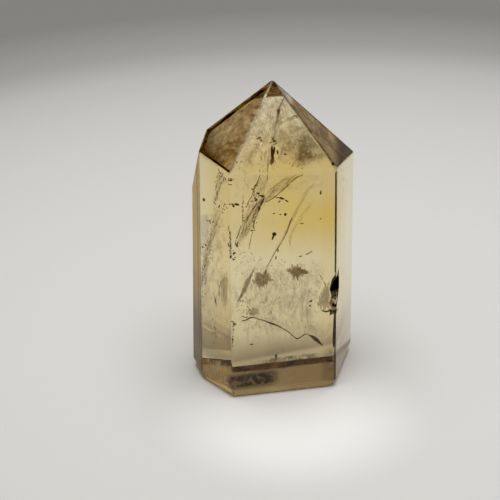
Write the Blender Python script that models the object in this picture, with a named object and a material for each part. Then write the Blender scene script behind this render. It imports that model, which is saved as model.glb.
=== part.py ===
"""Citrine crystal point: one quartz crystal with polished flat faces, standing on its ground foot.

Seven upright prism faces rise to six sloping facets that meet in the tip and to one steeper
facet on the left shoulder. A cleft runs down the front right edge, and a few small chips mark
the other edges. Units are metres, +Z is up, and the origin is the bottom centre of the
crystal's box. The widest face looks along -Y.
"""
import math

import bmesh
import bpy
from mathutils import Matrix, Vector

MM = 0.001

# Whole crystal, in mm.
BLANK_HALF_WIDTH = 40.0
BLANK_HEIGHT = 90.0
TIP = (-0.78, 1.24, 71.2)
TIP_BLUNT = 0.3
EDGE_ROUNDING = 0.25
EDGE_SEGMENTS = 2
CUT_TOLERANCE = 0.002
SURFACE_COLOUR = (0.80, 0.66, 0.36, 1.0)
SURFACE_ROUGHNESS = 0.06

# Prism faces: azimuth of the outward direction and inward lean in degrees, distance from the
# axis at the top of the foot bevel, and how far the foot bevel steps in below it, in mm.
PRISM_FACES = {
    "front": (270.0, 0.0, 12.74, 0.8),
    "front_left": (206.4, 0.0, 17.62, 0.9),
    "left": (183.9, 0.25, 18.67, 0.9),
    "back_left": (140.0, 1.4, 17.77, 0.8),
    "back": (91.0, 0.0, 12.50, 0.8),
    "back_right": (26.0, -1.2, 18.52, 0.9),
    "right": (335.0, 0.29, 15.20, 1.3),
}
FOOT_BEVEL_HEIGHT = 2.0

# Height in mm at which each upright edge ends in a shoulder corner.
SHOULDERS = {
    ("front_left", "front"): 55.9,
    ("front", "right"): 54.9,
    ("right", "back_right"): 50.3,
    ("back_right", "back"): 50.5,
    ("back_left", "left"): 46.1,
    ("left", "front_left"): 57.4,
}

# Facets that run from the tip down to two shoulder corners.
TIP_FACETS = (
    (("front_left", "front"), ("front", "right")),
    (("left", "front_left"), ("front_left", "front")),
    (("front", "right"), ("right", "back_right")),
    (("right", "back_right"), ("back_right", "back")),
)

# The steep facet on the left shoulder rises from two corners to a point on the crest, in mm.
STEEP_FACET = (("left", "front_left"), ("back_left", "left"))
CREST_POINT = (-16.1, 0.36, 60.4)

# Facets behind the tip: azimuth and slope from the horizontal, in degrees.
REAR_FACETS = (
    (90.0, 43.0),
    (140.0, 42.8),
)

# Cleft in the front right edge. Each level: height, where the opening starts and ends, and its
# depth, in mm. Starts and ends are measured from the edge: minus over the front face, plus over
# the right face.
CLEFT_LEVELS = (
    (19.3, -0.10, 0.10, 0.15),
    (20.2, -1.00, 0.50, 0.9),
    (21.7, -1.35, 1.50, 1.5),
    (23.6, -0.90, 3.10, 1.8),
    (25.4, -1.40, 3.40, 2.1),
    (27.0, -0.70, 3.25, 1.7),
    (28.1, 0.40, 3.50, 1.0),
    (29.1, 3.00, 3.45, 0.2),
)
CLEFT_OVERCUT = 0.8
CLEFT_SKEW = 0.3

# Chips: centre of the scooping lump in mm, its radii in mm, its turn about Z in degrees.
CHIPS = {
    "right_shoulder": ((17.9, 5.2, 52.6), (1.1, 1.3, 0.8), 20.0),
    "right_crest": ((16.2, 4.9, 54.6), (0.8, 1.0, 0.6), 65.0),
    "left_shoulder": ((-19.2, 2.9, 48.5), (0.8, 1.0, 1.1), 10.0),
    "left_edge": ((-19.2, 4.9, 23.8), (0.8, 1.0, 0.9), 40.0),
    "front_right_foot": ((10.0, -12.2, -0.1), (1.3, 0.9, 0.8), 75.0),
    "back_crest": ((6.4, 13.1, 56.0), (1.3, 0.9, 0.8), 30.0),
}
CHIP_SUBDIVISIONS = 2
CHIP_RAGGEDNESS = 0.16


def clear_scene():
    for scene_object in list(bpy.data.objects):
        bpy.data.objects.remove(scene_object, do_unlink=True)


def metres(point_mm):
    return Vector(point_mm) * MM


def facet_normal(azimuth_deg, slope_deg):
    """Outward direction of a plane; a slope of 90 degrees is an upright face."""
    azimuth = math.radians(azimuth_deg)
    slope = math.radians(slope_deg)
    level = math.sin(slope)
    return Vector((level * math.cos(azimuth), level * math.sin(azimuth), math.cos(slope)))


def crystal_material():
    material = bpy.data.materials.new("citrine")
    material.use_nodes = True
    shader = material.node_tree.nodes["Principled BSDF"]
    shader.inputs["Base Color"].default_value = SURFACE_COLOUR
    shader.inputs["Roughness"].default_value = SURFACE_ROUGHNESS
    shader.inputs["Metallic"].default_value = 0.0
    material.diffuse_color = SURFACE_COLOUR
    return material


def link_object(name, bm):
    mesh = bpy.data.meshes.new(name)
    bm.normal_update()
    bm.to_mesh(mesh)
    bm.free()
    scene_object = bpy.data.objects.new(name, mesh)
    bpy.context.scene.collection.objects.link(scene_object)
    return scene_object


def cut_flat(bm, point, normal):
    """Grind everything beyond the plane away and close the cut with one flat face."""
    everything = bm.verts[:] + bm.edges[:] + bm.faces[:]
    cut = bmesh.ops.bisect_plane(
        bm, geom=everything, dist=CUT_TOLERANCE * MM, plane_co=point, plane_no=normal,
        clear_outer=True)
    rim = [item for item in cut["geom_cut"] if isinstance(item, bmesh.types.BMEdge)]
    open_rim = [edge for edge in rim if edge.is_valid and edge.is_boundary]
    if open_rim:
        bmesh.ops.contextual_create(bm, geom=open_rim)
    bmesh.ops.remove_doubles(bm, verts=bm.verts[:], dist=CUT_TOLERANCE * MM)
    bmesh.ops.dissolve_degenerate(bm, edges=bm.edges[:], dist=CUT_TOLERANCE * MM)


def blank_block(bm):
    bmesh.ops.create_cube(bm, size=1.0)
    size = Vector((2.0 * BLANK_HALF_WIDTH, 2.0 * BLANK_HALF_WIDTH, BLANK_HEIGHT)) * MM
    bmesh.ops.scale(bm, verts=bm.verts[:], vec=size)
    bmesh.ops.translate(bm, verts=bm.verts[:], vec=Vector((0.0, 0.0, 0.5 * size.z)))


def level_direction(face):
    return facet_normal(PRISM_FACES[face][0], 90.0)


def reach(face, height):
    """Distance in mm from the axis to an upright face, which leans a little, at a height."""
    _, lean, distance, _ = PRISM_FACES[face]
    return distance - (height - FOOT_BEVEL_HEIGHT) * math.tan(math.radians(lean))


def cut_prism(bm):
    for face, (azimuth, lean, distance, _) in PRISM_FACES.items():
        on_face = level_direction(face) * distance + Vector((0.0, 0.0, FOOT_BEVEL_HEIGHT))
        cut_flat(bm, on_face * MM, facet_normal(azimuth, 90.0 - lean))


def prism_edge(first, second, height=0.0):
    """Point, in mm, where two upright faces meet at a height."""
    rows = Matrix((level_direction(first).xy, level_direction(second).xy))
    plan = rows.inverted() @ Vector((reach(first, height), reach(second, height)))
    return Vector((plan.x, plan.y, height))


def shoulder(faces):
    return prism_edge(faces[0], faces[1], SHOULDERS[faces]) * MM


def cut_through(bm, first, second, third):
    """Grind away what is above the plane through three points."""
    normal = (second - first).cross(third - first).normalized()
    if normal.z < 0.0:
        normal.negate()
    cut_flat(bm, first, normal)


def cut_tip(bm):
    tip = metres(TIP)
    for left_corner, right_corner in TIP_FACETS:
        cut_through(bm, tip, shoulder(left_corner), shoulder(right_corner))
    cut_through(bm, *[shoulder(corner) for corner in STEEP_FACET], metres(CREST_POINT))
    for azimuth, slope in REAR_FACETS:
        cut_flat(bm, tip, facet_normal(azimuth, slope))


def cut_foot(bm):
    """Bevel the foot under each prism face, leaving the flat base smaller than the prism."""
    for face, (_, _, distance, step_in) in PRISM_FACES.items():
        outward = level_direction(face)
        bevel_top = outward * distance + Vector((0.0, 0.0, FOOT_BEVEL_HEIGHT))
        normal = outward * FOOT_BEVEL_HEIGHT - Vector((0.0, 0.0, step_in))
        cut_flat(bm, bevel_top * MM, normal.normalized())


def rounded_crystal():
    bm = bmesh.new()
    blank_block(bm)
    cut_prism(bm)
    cut_tip(bm)
    cut_foot(bm)
    bmesh.ops.recalc_face_normals(bm, faces=bm.faces[:])
    bmesh.ops.bevel(
        bm, geom=bm.edges[:], offset=EDGE_ROUNDING * MM, offset_type="OFFSET",
        segments=EDGE_SEGMENTS, profile=0.5, affect="EDGES", clamp_overlap=False)
    cut_flat(bm, metres(TIP) - Vector((0.0, 0.0, TIP_BLUNT * MM)), Vector((0.0, 0.0, 1.0)))
    return link_object("crystal_point", bm)


def cleft_cutter():
    """A jagged wedge that follows the front right edge and points into the crystal."""
    front = level_direction("front")
    right = level_direction("right")
    along_front = Vector((-1.0, 0.0, 0.0))
    along_right = Vector((-right.y, right.x, 0.0))
    outward = (front + right).normalized()
    bm = bmesh.new()
    rings = []
    for level, (height, start, end, depth) in enumerate(CLEFT_LEVELS):
        edge = prism_edge("front", "right", height)
        start_face, start_run = (front, along_front * -start) if start < 0.0 else (
            right, along_right * start)
        ridge = edge + along_right * max(start, 0.0)
        middle = edge + along_right * 0.5 * (max(start, 0.0) + end)
        skew = along_right * CLEFT_SKEW * (-1.0) ** level
        corners = (
            ridge + outward * 2.0 * CLEFT_OVERCUT,
            edge + along_right * end + right * CLEFT_OVERCUT,
            edge + along_right * end,
            middle + (skew - outward) * depth,
            edge + start_run,
            edge + start_run + start_face * CLEFT_OVERCUT,
        )
        ring = [bm.verts.new(corner * MM) for corner in corners]
        rings.append(ring)
    for lower, upper in zip(rings, rings[1:]):
        for corner in range(len(lower)):
            following = (corner + 1) % len(lower)
            bm.faces.new((lower[corner], lower[following], upper[following], upper[corner]))
    bm.faces.new(list(reversed(rings[0])))
    bm.faces.new(rings[-1])
    bmesh.ops.triangulate(bm, faces=bm.faces[:])
    bmesh.ops.recalc_face_normals(bm, faces=bm.faces[:])
    return link_object("cutter_cleft", bm)


def chip_cutter(name, centre, radii, turn_deg):
    """A ragged pebble whose surface leaves a shelly scoop in an edge."""
    bm = bmesh.new()
    bmesh.ops.create_icosphere(bm, subdivisions=CHIP_SUBDIVISIONS, radius=1.0)
    for vert in bm.verts:
        x, y, z = vert.co
        ripple = math.sin(5.0 * x + 3.0 * z) * math.cos(4.0 * y - 2.0 * x)
        vert.co *= 1.0 + CHIP_RAGGEDNESS * ripple
    bmesh.ops.scale(bm, verts=bm.verts[:], vec=Vector(radii) * MM)
    turn = Matrix.Rotation(math.radians(turn_deg), 3, "Z")
    bmesh.ops.rotate(bm, verts=bm.verts[:], cent=(0.0, 0.0, 0.0), matrix=turn)
    bmesh.ops.translate(bm, verts=bm.verts[:], vec=metres(centre))
    return link_object("cutter_" + name, bm)


def carve(crystal, cutter):
    cutter.hide_render = True
    cutter.display_type = "WIRE"
    cut = crystal.modifiers.new(cutter.name, "BOOLEAN")
    cut.operation = "DIFFERENCE"
    cut.solver = "EXACT"
    cut.object = cutter


def main():
    clear_scene()
    crystal = rounded_crystal()
    crystal.data.materials.append(crystal_material())
    carve(crystal, cleft_cutter())
    for name, (centre, radii, turn_deg) in CHIPS.items():
        carve(crystal, chip_cutter(name, centre, radii, turn_deg))


main()
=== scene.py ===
"""Citrine crystal point on a pale table: the looks of the crystal, its inside and its stage.

Run in Blender 4.5. Every length in the property groups is a real one. The crystal stands on the
floor at height 0, its widest face looks along -Y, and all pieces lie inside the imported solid.
Inclusions are placed by the spot of the view where they show: a line of sight is bent where it
enters the stone and followed to a depth, so that each piece hangs at a real place in the stone.
"""
import math
import random

import bpy
import numpy as np
from mathutils import Matrix, Vector, noise
from mathutils.bvhtree import BVHTree

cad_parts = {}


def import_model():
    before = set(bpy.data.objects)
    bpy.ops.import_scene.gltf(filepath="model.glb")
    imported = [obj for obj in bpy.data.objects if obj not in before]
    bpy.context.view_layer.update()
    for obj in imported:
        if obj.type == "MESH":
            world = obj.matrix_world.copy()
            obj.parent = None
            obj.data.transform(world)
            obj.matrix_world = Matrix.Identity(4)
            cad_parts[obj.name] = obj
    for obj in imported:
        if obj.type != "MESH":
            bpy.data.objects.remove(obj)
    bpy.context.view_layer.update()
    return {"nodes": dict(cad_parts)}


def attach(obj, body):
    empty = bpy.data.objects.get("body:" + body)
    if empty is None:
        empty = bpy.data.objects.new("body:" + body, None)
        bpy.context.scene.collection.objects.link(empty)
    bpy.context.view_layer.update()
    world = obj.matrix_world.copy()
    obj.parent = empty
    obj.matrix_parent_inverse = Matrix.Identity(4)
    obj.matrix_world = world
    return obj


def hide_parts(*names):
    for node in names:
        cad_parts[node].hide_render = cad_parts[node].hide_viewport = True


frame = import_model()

bl_info = {
    "name": "Citrine Crystal Point",
    "version": (1, 0, 0),
    "blender": (4, 5, 0),
    "location": "View3D > Sidebar > Citrine",
    "description": "Builds a polished citrine point with its veils and flakes, and a pale table",
    "category": "Object",
}

MM = 0.001
NODE = "crystal_point"
BODY = "root"
SENSOR = 36.0

# The view is a square. Its spots are counted across and down from the top left corner.
VIEW_SIDE = 500.0
VIEW_MIDDLE = VIEW_SIDE / 2
SEEN_PER_MM = 4.25
# a place under the crystal and the spot of the view where it shows
ANCHOR_PLACE = Vector((-1.9, -2.76, 0.0)) * MM
ANCHOR_SEEN = (272.0, 372.0)

# mm of stone left between an inclusion and the wall behind it, and the share of the way through
# the stone that an inclusion may always go
WALL_LEFT = 0.35
FREE_SHARE = 0.2
# mm past the surface from which the way to the far wall is measured
PAST_SURFACE = 0.01

# waves of a sheet per mm, how much lower the short ones are, how far apart the waves of two
# sheets are read, and how fast the waves rise from the ends of a sheet
LONG_WAVE = 0.35
SHORT_WAVE = 1.1
SHORT_SHARE = 0.5
WAVE_STEP = (7.31, 3.17, 5.73)
WAVE_RISE = 4
# how fast a sheet's rim value rises from its ends and from its sides
RIM_END_RISE = 8
RIM_SIDE_RISE = 1.6
# mm of a sheet that one unit of its UV map spans
UV_SPAN = 10
# steps that a smooth line takes between two of its points
LINE_STEPS = 12


# ---------------------------------------------------------------- settings

class CitrineGlass(bpy.types.PropertyGroup):
    """The clear stone."""

    tint: bpy.props.FloatVectorProperty(
        name="Surface tint", description="Colour that each polished face gives to light passing it",
        subtype="COLOR", default=(0.975, 0.95, 0.885), min=0.0, max=1.0)
    clear: bpy.props.FloatVectorProperty(
        name="Clear zone", description="Tint of the clear zone below the golden one",
        subtype="COLOR", default=(1.0, 0.99, 0.965), min=0.0, max=1.0)
    pale: bpy.props.FloatVectorProperty(
        name="Pale strands", description="Tint of the light strands low on the front",
        subtype="COLOR", default=(1.0, 0.97, 0.86), min=0.0, max=1.0)
    straw: bpy.props.FloatVectorProperty(
        name="Straw side", description="Tint of the right side", subtype="COLOR",
        default=(0.97, 0.90, 0.70), min=0.0, max=1.0)
    rust: bpy.props.FloatVectorProperty(
        name="Rusty side", description="Tint of the narrow left face",
        subtype="COLOR", default=(0.60, 0.40, 0.13), min=0.0, max=1.0)
    golden: bpy.props.FloatVectorProperty(
        name="Golden zone", description="Tint of the golden growth zone below the tip",
        subtype="COLOR", default=(0.85, 0.64, 0.16), min=0.0, max=1.0)
    # painted shade: this colour darkens a band low on the front and sides, above the foot; the dark
    # strands take it too
    shade_and_strands: bpy.props.FloatVectorProperty(
        name="Smoky zone", description="Tint of the smoky zone above the foot",
        subtype="COLOR", default=(0.25, 0.20, 0.16), min=0.0, max=1.0)
    # dark marks: painted shade along the tip's edges, the outline, the front right edge and at the apex;
    # they also darken the left face and the foot
    dark_mark: bpy.props.FloatVectorProperty(
        name="Stain", description="Tint of the brown stains along the edges and at the foot",
        subtype="COLOR", default=(0.006, 0.004, 0.002), min=0.0, max=1.0)
    # painted shade: the front below the base line and the lowest part of the stone are painted dark in
    # this colour
    foot: bpy.props.FloatVectorProperty(
        name="Foot", description="Tint of the lowest part of the stone", subtype="COLOR",
        default=(0.20, 0.12, 0.045), min=0.0, max=1.0)
    depth_colour: bpy.props.FloatVectorProperty(
        name="Depth colour", description="Colour that the stone takes on with depth",
        subtype="COLOR", default=(0.87, 0.69, 0.04), min=0.0, max=1.0)
    depth_density: bpy.props.FloatProperty(
        name="Depth density", description="How fast the depth colour builds up, per metre",
        default=26.0, min=0.0)
    ior: bpy.props.FloatProperty(
        name="Refraction", description="Refractive index of quartz", default=1.55, min=1.0)
    roughness: bpy.props.FloatProperty(
        name="Polish roughness", description="Roughness of the polished faces",
        default=0.012, min=0.0, max=1.0)
    left_roughness: bpy.props.FloatProperty(
        name="Left face roughness", description="How much rougher the narrow left face is",
        default=0.38, min=0.0, max=1.0)


class CitrineInside(bpy.types.PropertyGroup):
    """Veils, flakes, cracks and specks in the stone."""

    veil_dark: bpy.props.FloatVectorProperty(
        name="Veil shade", description="Dark colour of the veils", subtype="COLOR",
        default=(0.24, 0.14, 0.04), min=0.0, max=1.0)
    veil_light: bpy.props.FloatVectorProperty(
        name="Veil light", description="Light colour of the veils", subtype="COLOR",
        default=(0.85, 0.62, 0.24), min=0.0, max=1.0)
    haze_dark: bpy.props.FloatVectorProperty(
        name="Haze shade", description="Dark colour of the cloud in the tip", subtype="COLOR",
        default=(0.12, 0.055, 0.025), min=0.0, max=1.0)
    haze_middle: bpy.props.FloatVectorProperty(
        name="Haze", description="Middle colour of the cloud in the tip", subtype="COLOR",
        default=(0.56, 0.37, 0.18), min=0.0, max=1.0)
    haze_light: bpy.props.FloatVectorProperty(
        name="Haze light", description="Light colour of the cloud in the tip", subtype="COLOR",
        default=(1.0, 0.86, 0.56), min=0.0, max=1.0)
    speck: bpy.props.FloatVectorProperty(
        name="Speck", description="Colour of the dark specks", subtype="COLOR",
        default=(0.06, 0.034, 0.008), min=0.0, max=1.0)
    fleck_bright: bpy.props.FloatVectorProperty(
        name="Bright fleck", description="Colour of the brightest flecks", subtype="COLOR",
        default=(1.0, 0.97, 0.85), min=0.0, max=1.0)
    # this colour also paints the glints in the cleft
    fleck_pale: bpy.props.FloatVectorProperty(
        name="Pale fleck", description="Colour of the paler flecks and of the cleft's pale grains",
        subtype="COLOR", default=(0.95, 0.86, 0.66), min=0.0, max=1.0)
    fleck_brown: bpy.props.FloatVectorProperty(
        name="Brown fleck", description="Colour of the lighter of the dark flecks",
        subtype="COLOR", default=(0.26, 0.15, 0.05), min=0.0, max=1.0)
    fleck_dark: bpy.props.FloatVectorProperty(
        name="Dark fleck", description="Colour of the darkest flecks", subtype="COLOR",
        default=(0.08, 0.045, 0.015), min=0.0, max=1.0)
    sheet_thickness: bpy.props.FloatProperty(
        name="Sheet thickness", description="Thickness of a veil, cloud or haze",
        default=0.04 * MM, unit="LENGTH")


class CitrineStage(bpy.types.PropertyGroup):
    """Table, light and camera."""

    floor_colour: bpy.props.FloatVectorProperty(
        name="Floor", description="Colour of the table", subtype="COLOR",
        default=(0.72, 0.75, 0.78), min=0.0, max=1.0)
    floor_radius: bpy.props.FloatProperty(
        name="Floor radius", description="Radius of the round table top",
        default=1.6, unit="LENGTH")
    lamp_size: bpy.props.FloatProperty(
        name="Lamp size", description="Side of the square lamp overhead", default=0.9,
        unit="LENGTH")
    lamp_power: bpy.props.FloatProperty(
        name="Lamp power", description="Power of the lamp overhead", default=8.1, unit="POWER")
    elevation: bpy.props.FloatProperty(
        name="Camera elevation", description="Angle of the view above the horizon",
        default=math.radians(26.0), unit="ROTATION")
    azimuth: bpy.props.FloatProperty(
        name="Camera azimuth", description="Turn of the view about the vertical",
        default=math.radians(-11.756), unit="ROTATION")
    roll: bpy.props.FloatProperty(
        name="Camera roll", description="Turn of the camera about its own view",
        default=math.radians(-0.4), unit="ROTATION")
    distance: bpy.props.FloatProperty(
        name="Camera distance", description="Distance from the camera to the aim point",
        default=0.4884, unit="LENGTH")
    lens: bpy.props.FloatProperty(
        name="Lens", description="Focal length in mm on a 36 mm sensor", default=151.2,
        unit="CAMERA")


# ---------------------------------------------------------------- shader maths

class Signal:
    """A value in a material's node tree that takes part in Python sums."""

    def __init__(self, recipe, socket):
        self.recipe = recipe
        self.socket = socket

    def maths(self, operation, *values):
        return self.recipe.node("ShaderNodeMath", {"operation": operation}, *values)

    def __add__(self, other):
        return self.maths("ADD", self, other)

    def __radd__(self, other):
        return self.maths("ADD", other, self)

    def __sub__(self, other):
        return self.maths("SUBTRACT", self, other)

    def __rsub__(self, other):
        return self.maths("SUBTRACT", other, self)

    def __mul__(self, other):
        return self.maths("MULTIPLY", self, other)

    def __rmul__(self, other):
        return self.maths("MULTIPLY", other, self)

    def __truediv__(self, other):
        return self.maths("DIVIDE", self, other)


def set_stops(ramp, stops):
    """Give a colour ramp its stops, each a position and a colour or a grey."""
    while len(ramp.elements) < len(stops):
        ramp.elements.new(1.0)
    for element, (position, colour) in zip(ramp.elements, stops):
        element.position = position
        element.color = (*colour, 1.0) if hasattr(colour, "__len__") else (colour,) * 3 + (1.0,)


class Recipe:
    """Builds one material or world: every node comes from make(), and sums come from Signal."""

    def __init__(self, name, kind="Material"):
        stock = bpy.data.worlds if kind == "World" else bpy.data.materials
        self.owner = stock.new(name)
        self.owner.use_nodes = True
        self.tree = self.owner.node_tree
        self.tree.nodes.clear()
        self.output = self.make("ShaderNodeOutput" + kind, {})

    def feed(self, socket, value):
        if isinstance(value, Signal):
            self.tree.links.new(value.socket, socket)
        elif hasattr(socket.default_value, "__len__") and not hasattr(value, "__len__"):
            socket.default_value = [value] * len(socket.default_value)
        elif hasattr(value, "__len__") and len(value) == 3 and len(socket.default_value) == 4:
            socket.default_value = (*value, 1.0)
        else:
            socket.default_value = value

    def make(self, kind, settings, *values, **named):
        node = self.tree.nodes.new(kind)
        stops = settings.pop("stops", None)
        for setting, choice in settings.items():
            setattr(node, setting, choice)
        if stops:
            set_stops(node.color_ramp, stops)
        for socket, value in zip([s for s in node.inputs if s.enabled], values):
            self.feed(socket, value)
        for label, value in named.items():
            self.feed(node.inputs[label.replace("_", " ")], value)
        return node

    def node(self, kind, settings, *values, output=0, **named):
        return Signal(self, self.make(kind, dict(settings), *values, **named).outputs[output])

    def place(self, scale=None, source="Object"):
        """Coordinates of the point being shaded, stretched by scale where one is given."""
        here = self.node("ShaderNodeTexCoord", {}, output=source)
        return self.node("ShaderNodeMapping", {}, here, Scale=scale) if scale else here

    def coordinate(self, place, axis):
        """One coordinate of a place, in mm."""
        return self.node("ShaderNodeSeparateXYZ", {}, place, output=axis) / MM

    def rim(self):
        """0 on the border of a sheet or flake, and up to 1 inside it."""
        return self.node("ShaderNodeAttribute", {"attribute_name": "rim"}, output="Fac")

    def grain(self, place, scale, detail=4.0, rough=0.55, twist=0.0):
        """Cloudy pattern from 0 to 1."""
        return self.node("ShaderNodeTexNoise", {}, place, Scale=scale, Detail=detail,
                         Roughness=rough, Distortion=twist)

    def step(self, value, low, high):
        """Soft step from 0 at low to 1 at high."""
        return self.node("ShaderNodeMapRange", {"interpolation_type": "SMOOTHSTEP"}, value,
                         low, high, 0.0, 1.0)

    def vector(self, operation, *values, output="Vector", **named):
        return self.node("ShaderNodeVectorMath", {"operation": operation}, *values, output=output,
                         **named)

    def distance(self, place, start, end):
        """Distance from the shaded point to the stretch from start to end."""
        way = end - start
        from_start = self.vector("SUBTRACT", place, tuple(start))
        along = self.vector("DOT_PRODUCT", from_start, tuple(way), output="Value")
        share = self.node("ShaderNodeClamp", {}, along / way.length_squared)
        nearest = self.vector("SCALE", tuple(way), Scale=share)
        return self.vector("DISTANCE", from_start, nearest, output="Value")

    def blend(self, share, first, second, kind="MIX"):
        """Colour between first and second."""
        return self.node("ShaderNodeMix", {"data_type": "RGBA", "blend_type": kind}, share, first,
                         second, output=2)

    def mineral(self, colour, alpha=1.0, rough=0.7, silver=0.0):
        """Surface of something inside the stone; silver is how far it mirrors, as a crack does."""
        return self.finish(self.node("ShaderNodeBsdfPrincipled", {}, Base_Color=colour, Alpha=alpha,
                                     Roughness=rough, Specular_IOR_Level=0.0, Metallic=silver))

    def finish(self, shader, volume=None):
        self.feed(self.output.inputs["Surface"], shader)
        if volume:
            self.feed(self.output.inputs["Volume"], volume)
        return self.owner


# ---------------------------------------------------------------- modelling helpers

def only(piece):
    """Make piece the one selected and active object."""
    if bpy.context.object and bpy.context.object.mode != "OBJECT":
        bpy.ops.object.mode_set(mode="OBJECT")
    bpy.ops.object.select_all(action="DESELECT")
    piece.select_set(True)
    bpy.context.view_layer.objects.active = piece


def settle(piece, name, material):
    """Give a finished piece its name, material, body and finish slot."""
    piece.name = name
    piece.data.name = name
    piece.data.materials.clear()
    piece.data.materials.append(material)
    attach(piece, BODY)


def join(pieces):
    """Join pieces into the first of them."""
    only(pieces[0])
    for piece in pieces:
        piece.select_set(True)
    if len(pieces) > 1:
        bpy.ops.object.join()
    return bpy.context.object


def thicken(piece, thickness, offset=-1.0):
    """Give a sheet its thickness: behind it at offset -1, and on both sides of it at 0."""
    solid = piece.modifiers.new("thickness", "SOLIDIFY")
    solid.thickness = thickness
    solid.offset = offset
    bpy.ops.object.modifier_apply(modifier=solid.name)


def face_outwards():
    """Turn the active piece's faces outwards."""
    bpy.ops.object.mode_set(mode="EDIT")
    bpy.ops.mesh.select_all(action="SELECT")
    bpy.ops.mesh.normals_make_consistent(inside=False)
    bpy.ops.object.mode_set(mode="OBJECT")


def keep_faces(piece, wanted):
    """Delete the faces of the active piece that wanted, a test of one face, doesn't pass."""
    bpy.ops.object.mode_set(mode="EDIT")
    bpy.ops.mesh.select_mode(type="FACE")
    bpy.ops.mesh.select_all(action="DESELECT")
    bpy.ops.object.mode_set(mode="OBJECT")
    for face in piece.data.polygons:
        face.select = not wanted(face)
    bpy.ops.object.mode_set(mode="EDIT")
    bpy.ops.mesh.delete(type="FACE")
    bpy.ops.object.mode_set(mode="OBJECT")
    if not piece.data.polygons:
        raise RuntimeError(f"no face was found for {piece.name}")


def camera_axes(stage):
    """Right, up and backward axes of the camera, its position, and the width of one view unit."""
    back = Vector((
        math.sin(stage.azimuth) * math.cos(stage.elevation),
        -math.cos(stage.azimuth) * math.cos(stage.elevation),
        math.sin(stage.elevation)))
    level = (-back).cross(Vector((0.0, 0.0, 1.0))).normalized()
    above = level.cross(-back)
    right = level * math.cos(stage.roll) + above * math.sin(stage.roll)
    up = above * math.cos(stage.roll) - level * math.sin(stage.roll)
    unit = SENSOR / stage.lens / VIEW_SIDE
    # The camera stands so that the anchor place falls on its spot of the view.
    aside = (ANCHOR_SEEN[0] - VIEW_MIDDLE) * unit
    above_middle = (VIEW_MIDDLE - ANCHOR_SEEN[1]) * unit
    position = ANCHOR_PLACE + (back - right * aside - up * above_middle) * stage.distance
    return right, up, back, position, unit


class Sight:
    """Lines of sight from the camera, bent where they enter the stone."""

    def __init__(self, scene):
        self.right, self.up, self.back, self.eye, self.unit = camera_axes(scene.citrine_stage)
        self.ior = scene.citrine_glass.ior
        mesh = frame["nodes"][NODE].data
        self.stone = BVHTree.FromPolygons(
            [v.co.copy() for v in mesh.vertices], [tuple(p.vertices) for p in mesh.polygons])

    def inside(self, across, down, depth):
        """Place in the stone that shows at a spot of the view, depth mm behind the surface."""
        ray = (self.right * (across - VIEW_MIDDLE) + self.up * (VIEW_MIDDLE - down)) * self.unit
        ray = (ray - self.back).normalized()
        entry, normal, index, length = self.stone.ray_cast(self.eye, ray)
        if entry is None:
            raise RuntimeError(f"nothing of the stone shows at {across}, {down}")
        facing = -normal.dot(ray)
        share = 1.0 / self.ior
        lean = share * facing - math.sqrt(1.0 - share * share * (1.0 - facing * facing))
        bent = ray * share + normal * lean
        wall = self.stone.ray_cast(entry + bent * PAST_SURFACE * MM, bent)[3]
        return entry + bent * min(depth * MM, max(wall - WALL_LEFT * MM, FREE_SHARE * wall))


def resample(points, count):
    """count points spread evenly along a smooth line through points."""
    points = [Vector(p) for p in points]
    ends = [points[0] * 2 - points[1], *points, points[-1] * 2 - points[-2]]
    fine = []
    for k in range(1, len(ends) - 2):
        a, b, c, d = ends[k - 1:k + 3]
        for s in range(LINE_STEPS):
            t = s / LINE_STEPS
            fine.append(0.5 * (2 * b + (c - a) * t + (2 * a - 5 * b + 4 * c - d) * t * t
                               + (3 * b - a - 3 * c + d) * t ** 3))
    fine.append(points[-1])
    travelled = [0.0]
    for a, b in zip(fine, fine[1:]):
        travelled.append(travelled[-1] + (b - a).length)
    places = np.linspace(0.0, travelled[-1], count)
    stacked = np.array([tuple(p) for p in fine])
    return [Vector([np.interp(s, travelled, column) for column in stacked.T]) for s in places]


def sheet(sight, rails, rows, columns, ruffle, thickness, seed):
    """A thin closed sheet stretched across rails, which are lines of (across, down, depth)."""
    lines = [[sight.inside(*spot) for spot in resample(rail, rows + 1)] for rail in rails]
    bpy.ops.object.select_all(action="DESELECT")
    bpy.ops.mesh.primitive_grid_add(x_subdivisions=columns, y_subdivisions=rows, size=1.0)
    piece = bpy.context.object
    mesh = piece.data
    rim = mesh.attributes.new("rim", "FLOAT", "POINT")
    offset = Vector([seed * step for step in WAVE_STEP])
    length = sum((b - a).length for a, b in zip(lines[0], lines[0][1:])) / MM
    width = (lines[0][rows // 2] - lines[-1][rows // 2]).length / MM
    spots = []
    for vertex in mesh.vertices:
        u, v = vertex.co.x + 0.5, vertex.co.y + 0.5
        row = min(int(round(v * rows)), rows)
        part = u * (len(lines) - 1)
        first = min(int(part), len(lines) - 2)
        place = lines[first][row].lerp(lines[first + 1][row], part - first)
        wave = noise.noise(place / MM * LONG_WAVE + offset)
        wave += SHORT_SHARE * noise.noise(place / MM * SHORT_WAVE + offset)
        from_end = min(v, 1 - v)
        place = place + sight.back * wave * ruffle * MM * min(1.0, WAVE_RISE * from_end)
        from_side = min(1.0, 4 * u * (1 - u) * RIM_SIDE_RISE)
        rim.data[vertex.index].value = from_side * min(1.0, RIM_END_RISE * from_end)
        spots.append(place)
    for vertex, place in zip(mesh.vertices, spots):
        vertex.co = place
    for loop in mesh.uv_layers[0].data:
        loop.uv = (loop.uv[0] * width / UV_SPAN, loop.uv[1] * length / UV_SPAN)
    only(piece)
    thicken(piece, thickness, offset=0.0)
    face_outwards()
    return piece


# ---------------------------------------------------------------- the stone

# corners closer than this are one, and faces that turn less than this are one flat face
MERGE_WITHIN = 0.001 * MM
FLAT_WITHIN = math.radians(0.05)
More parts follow.
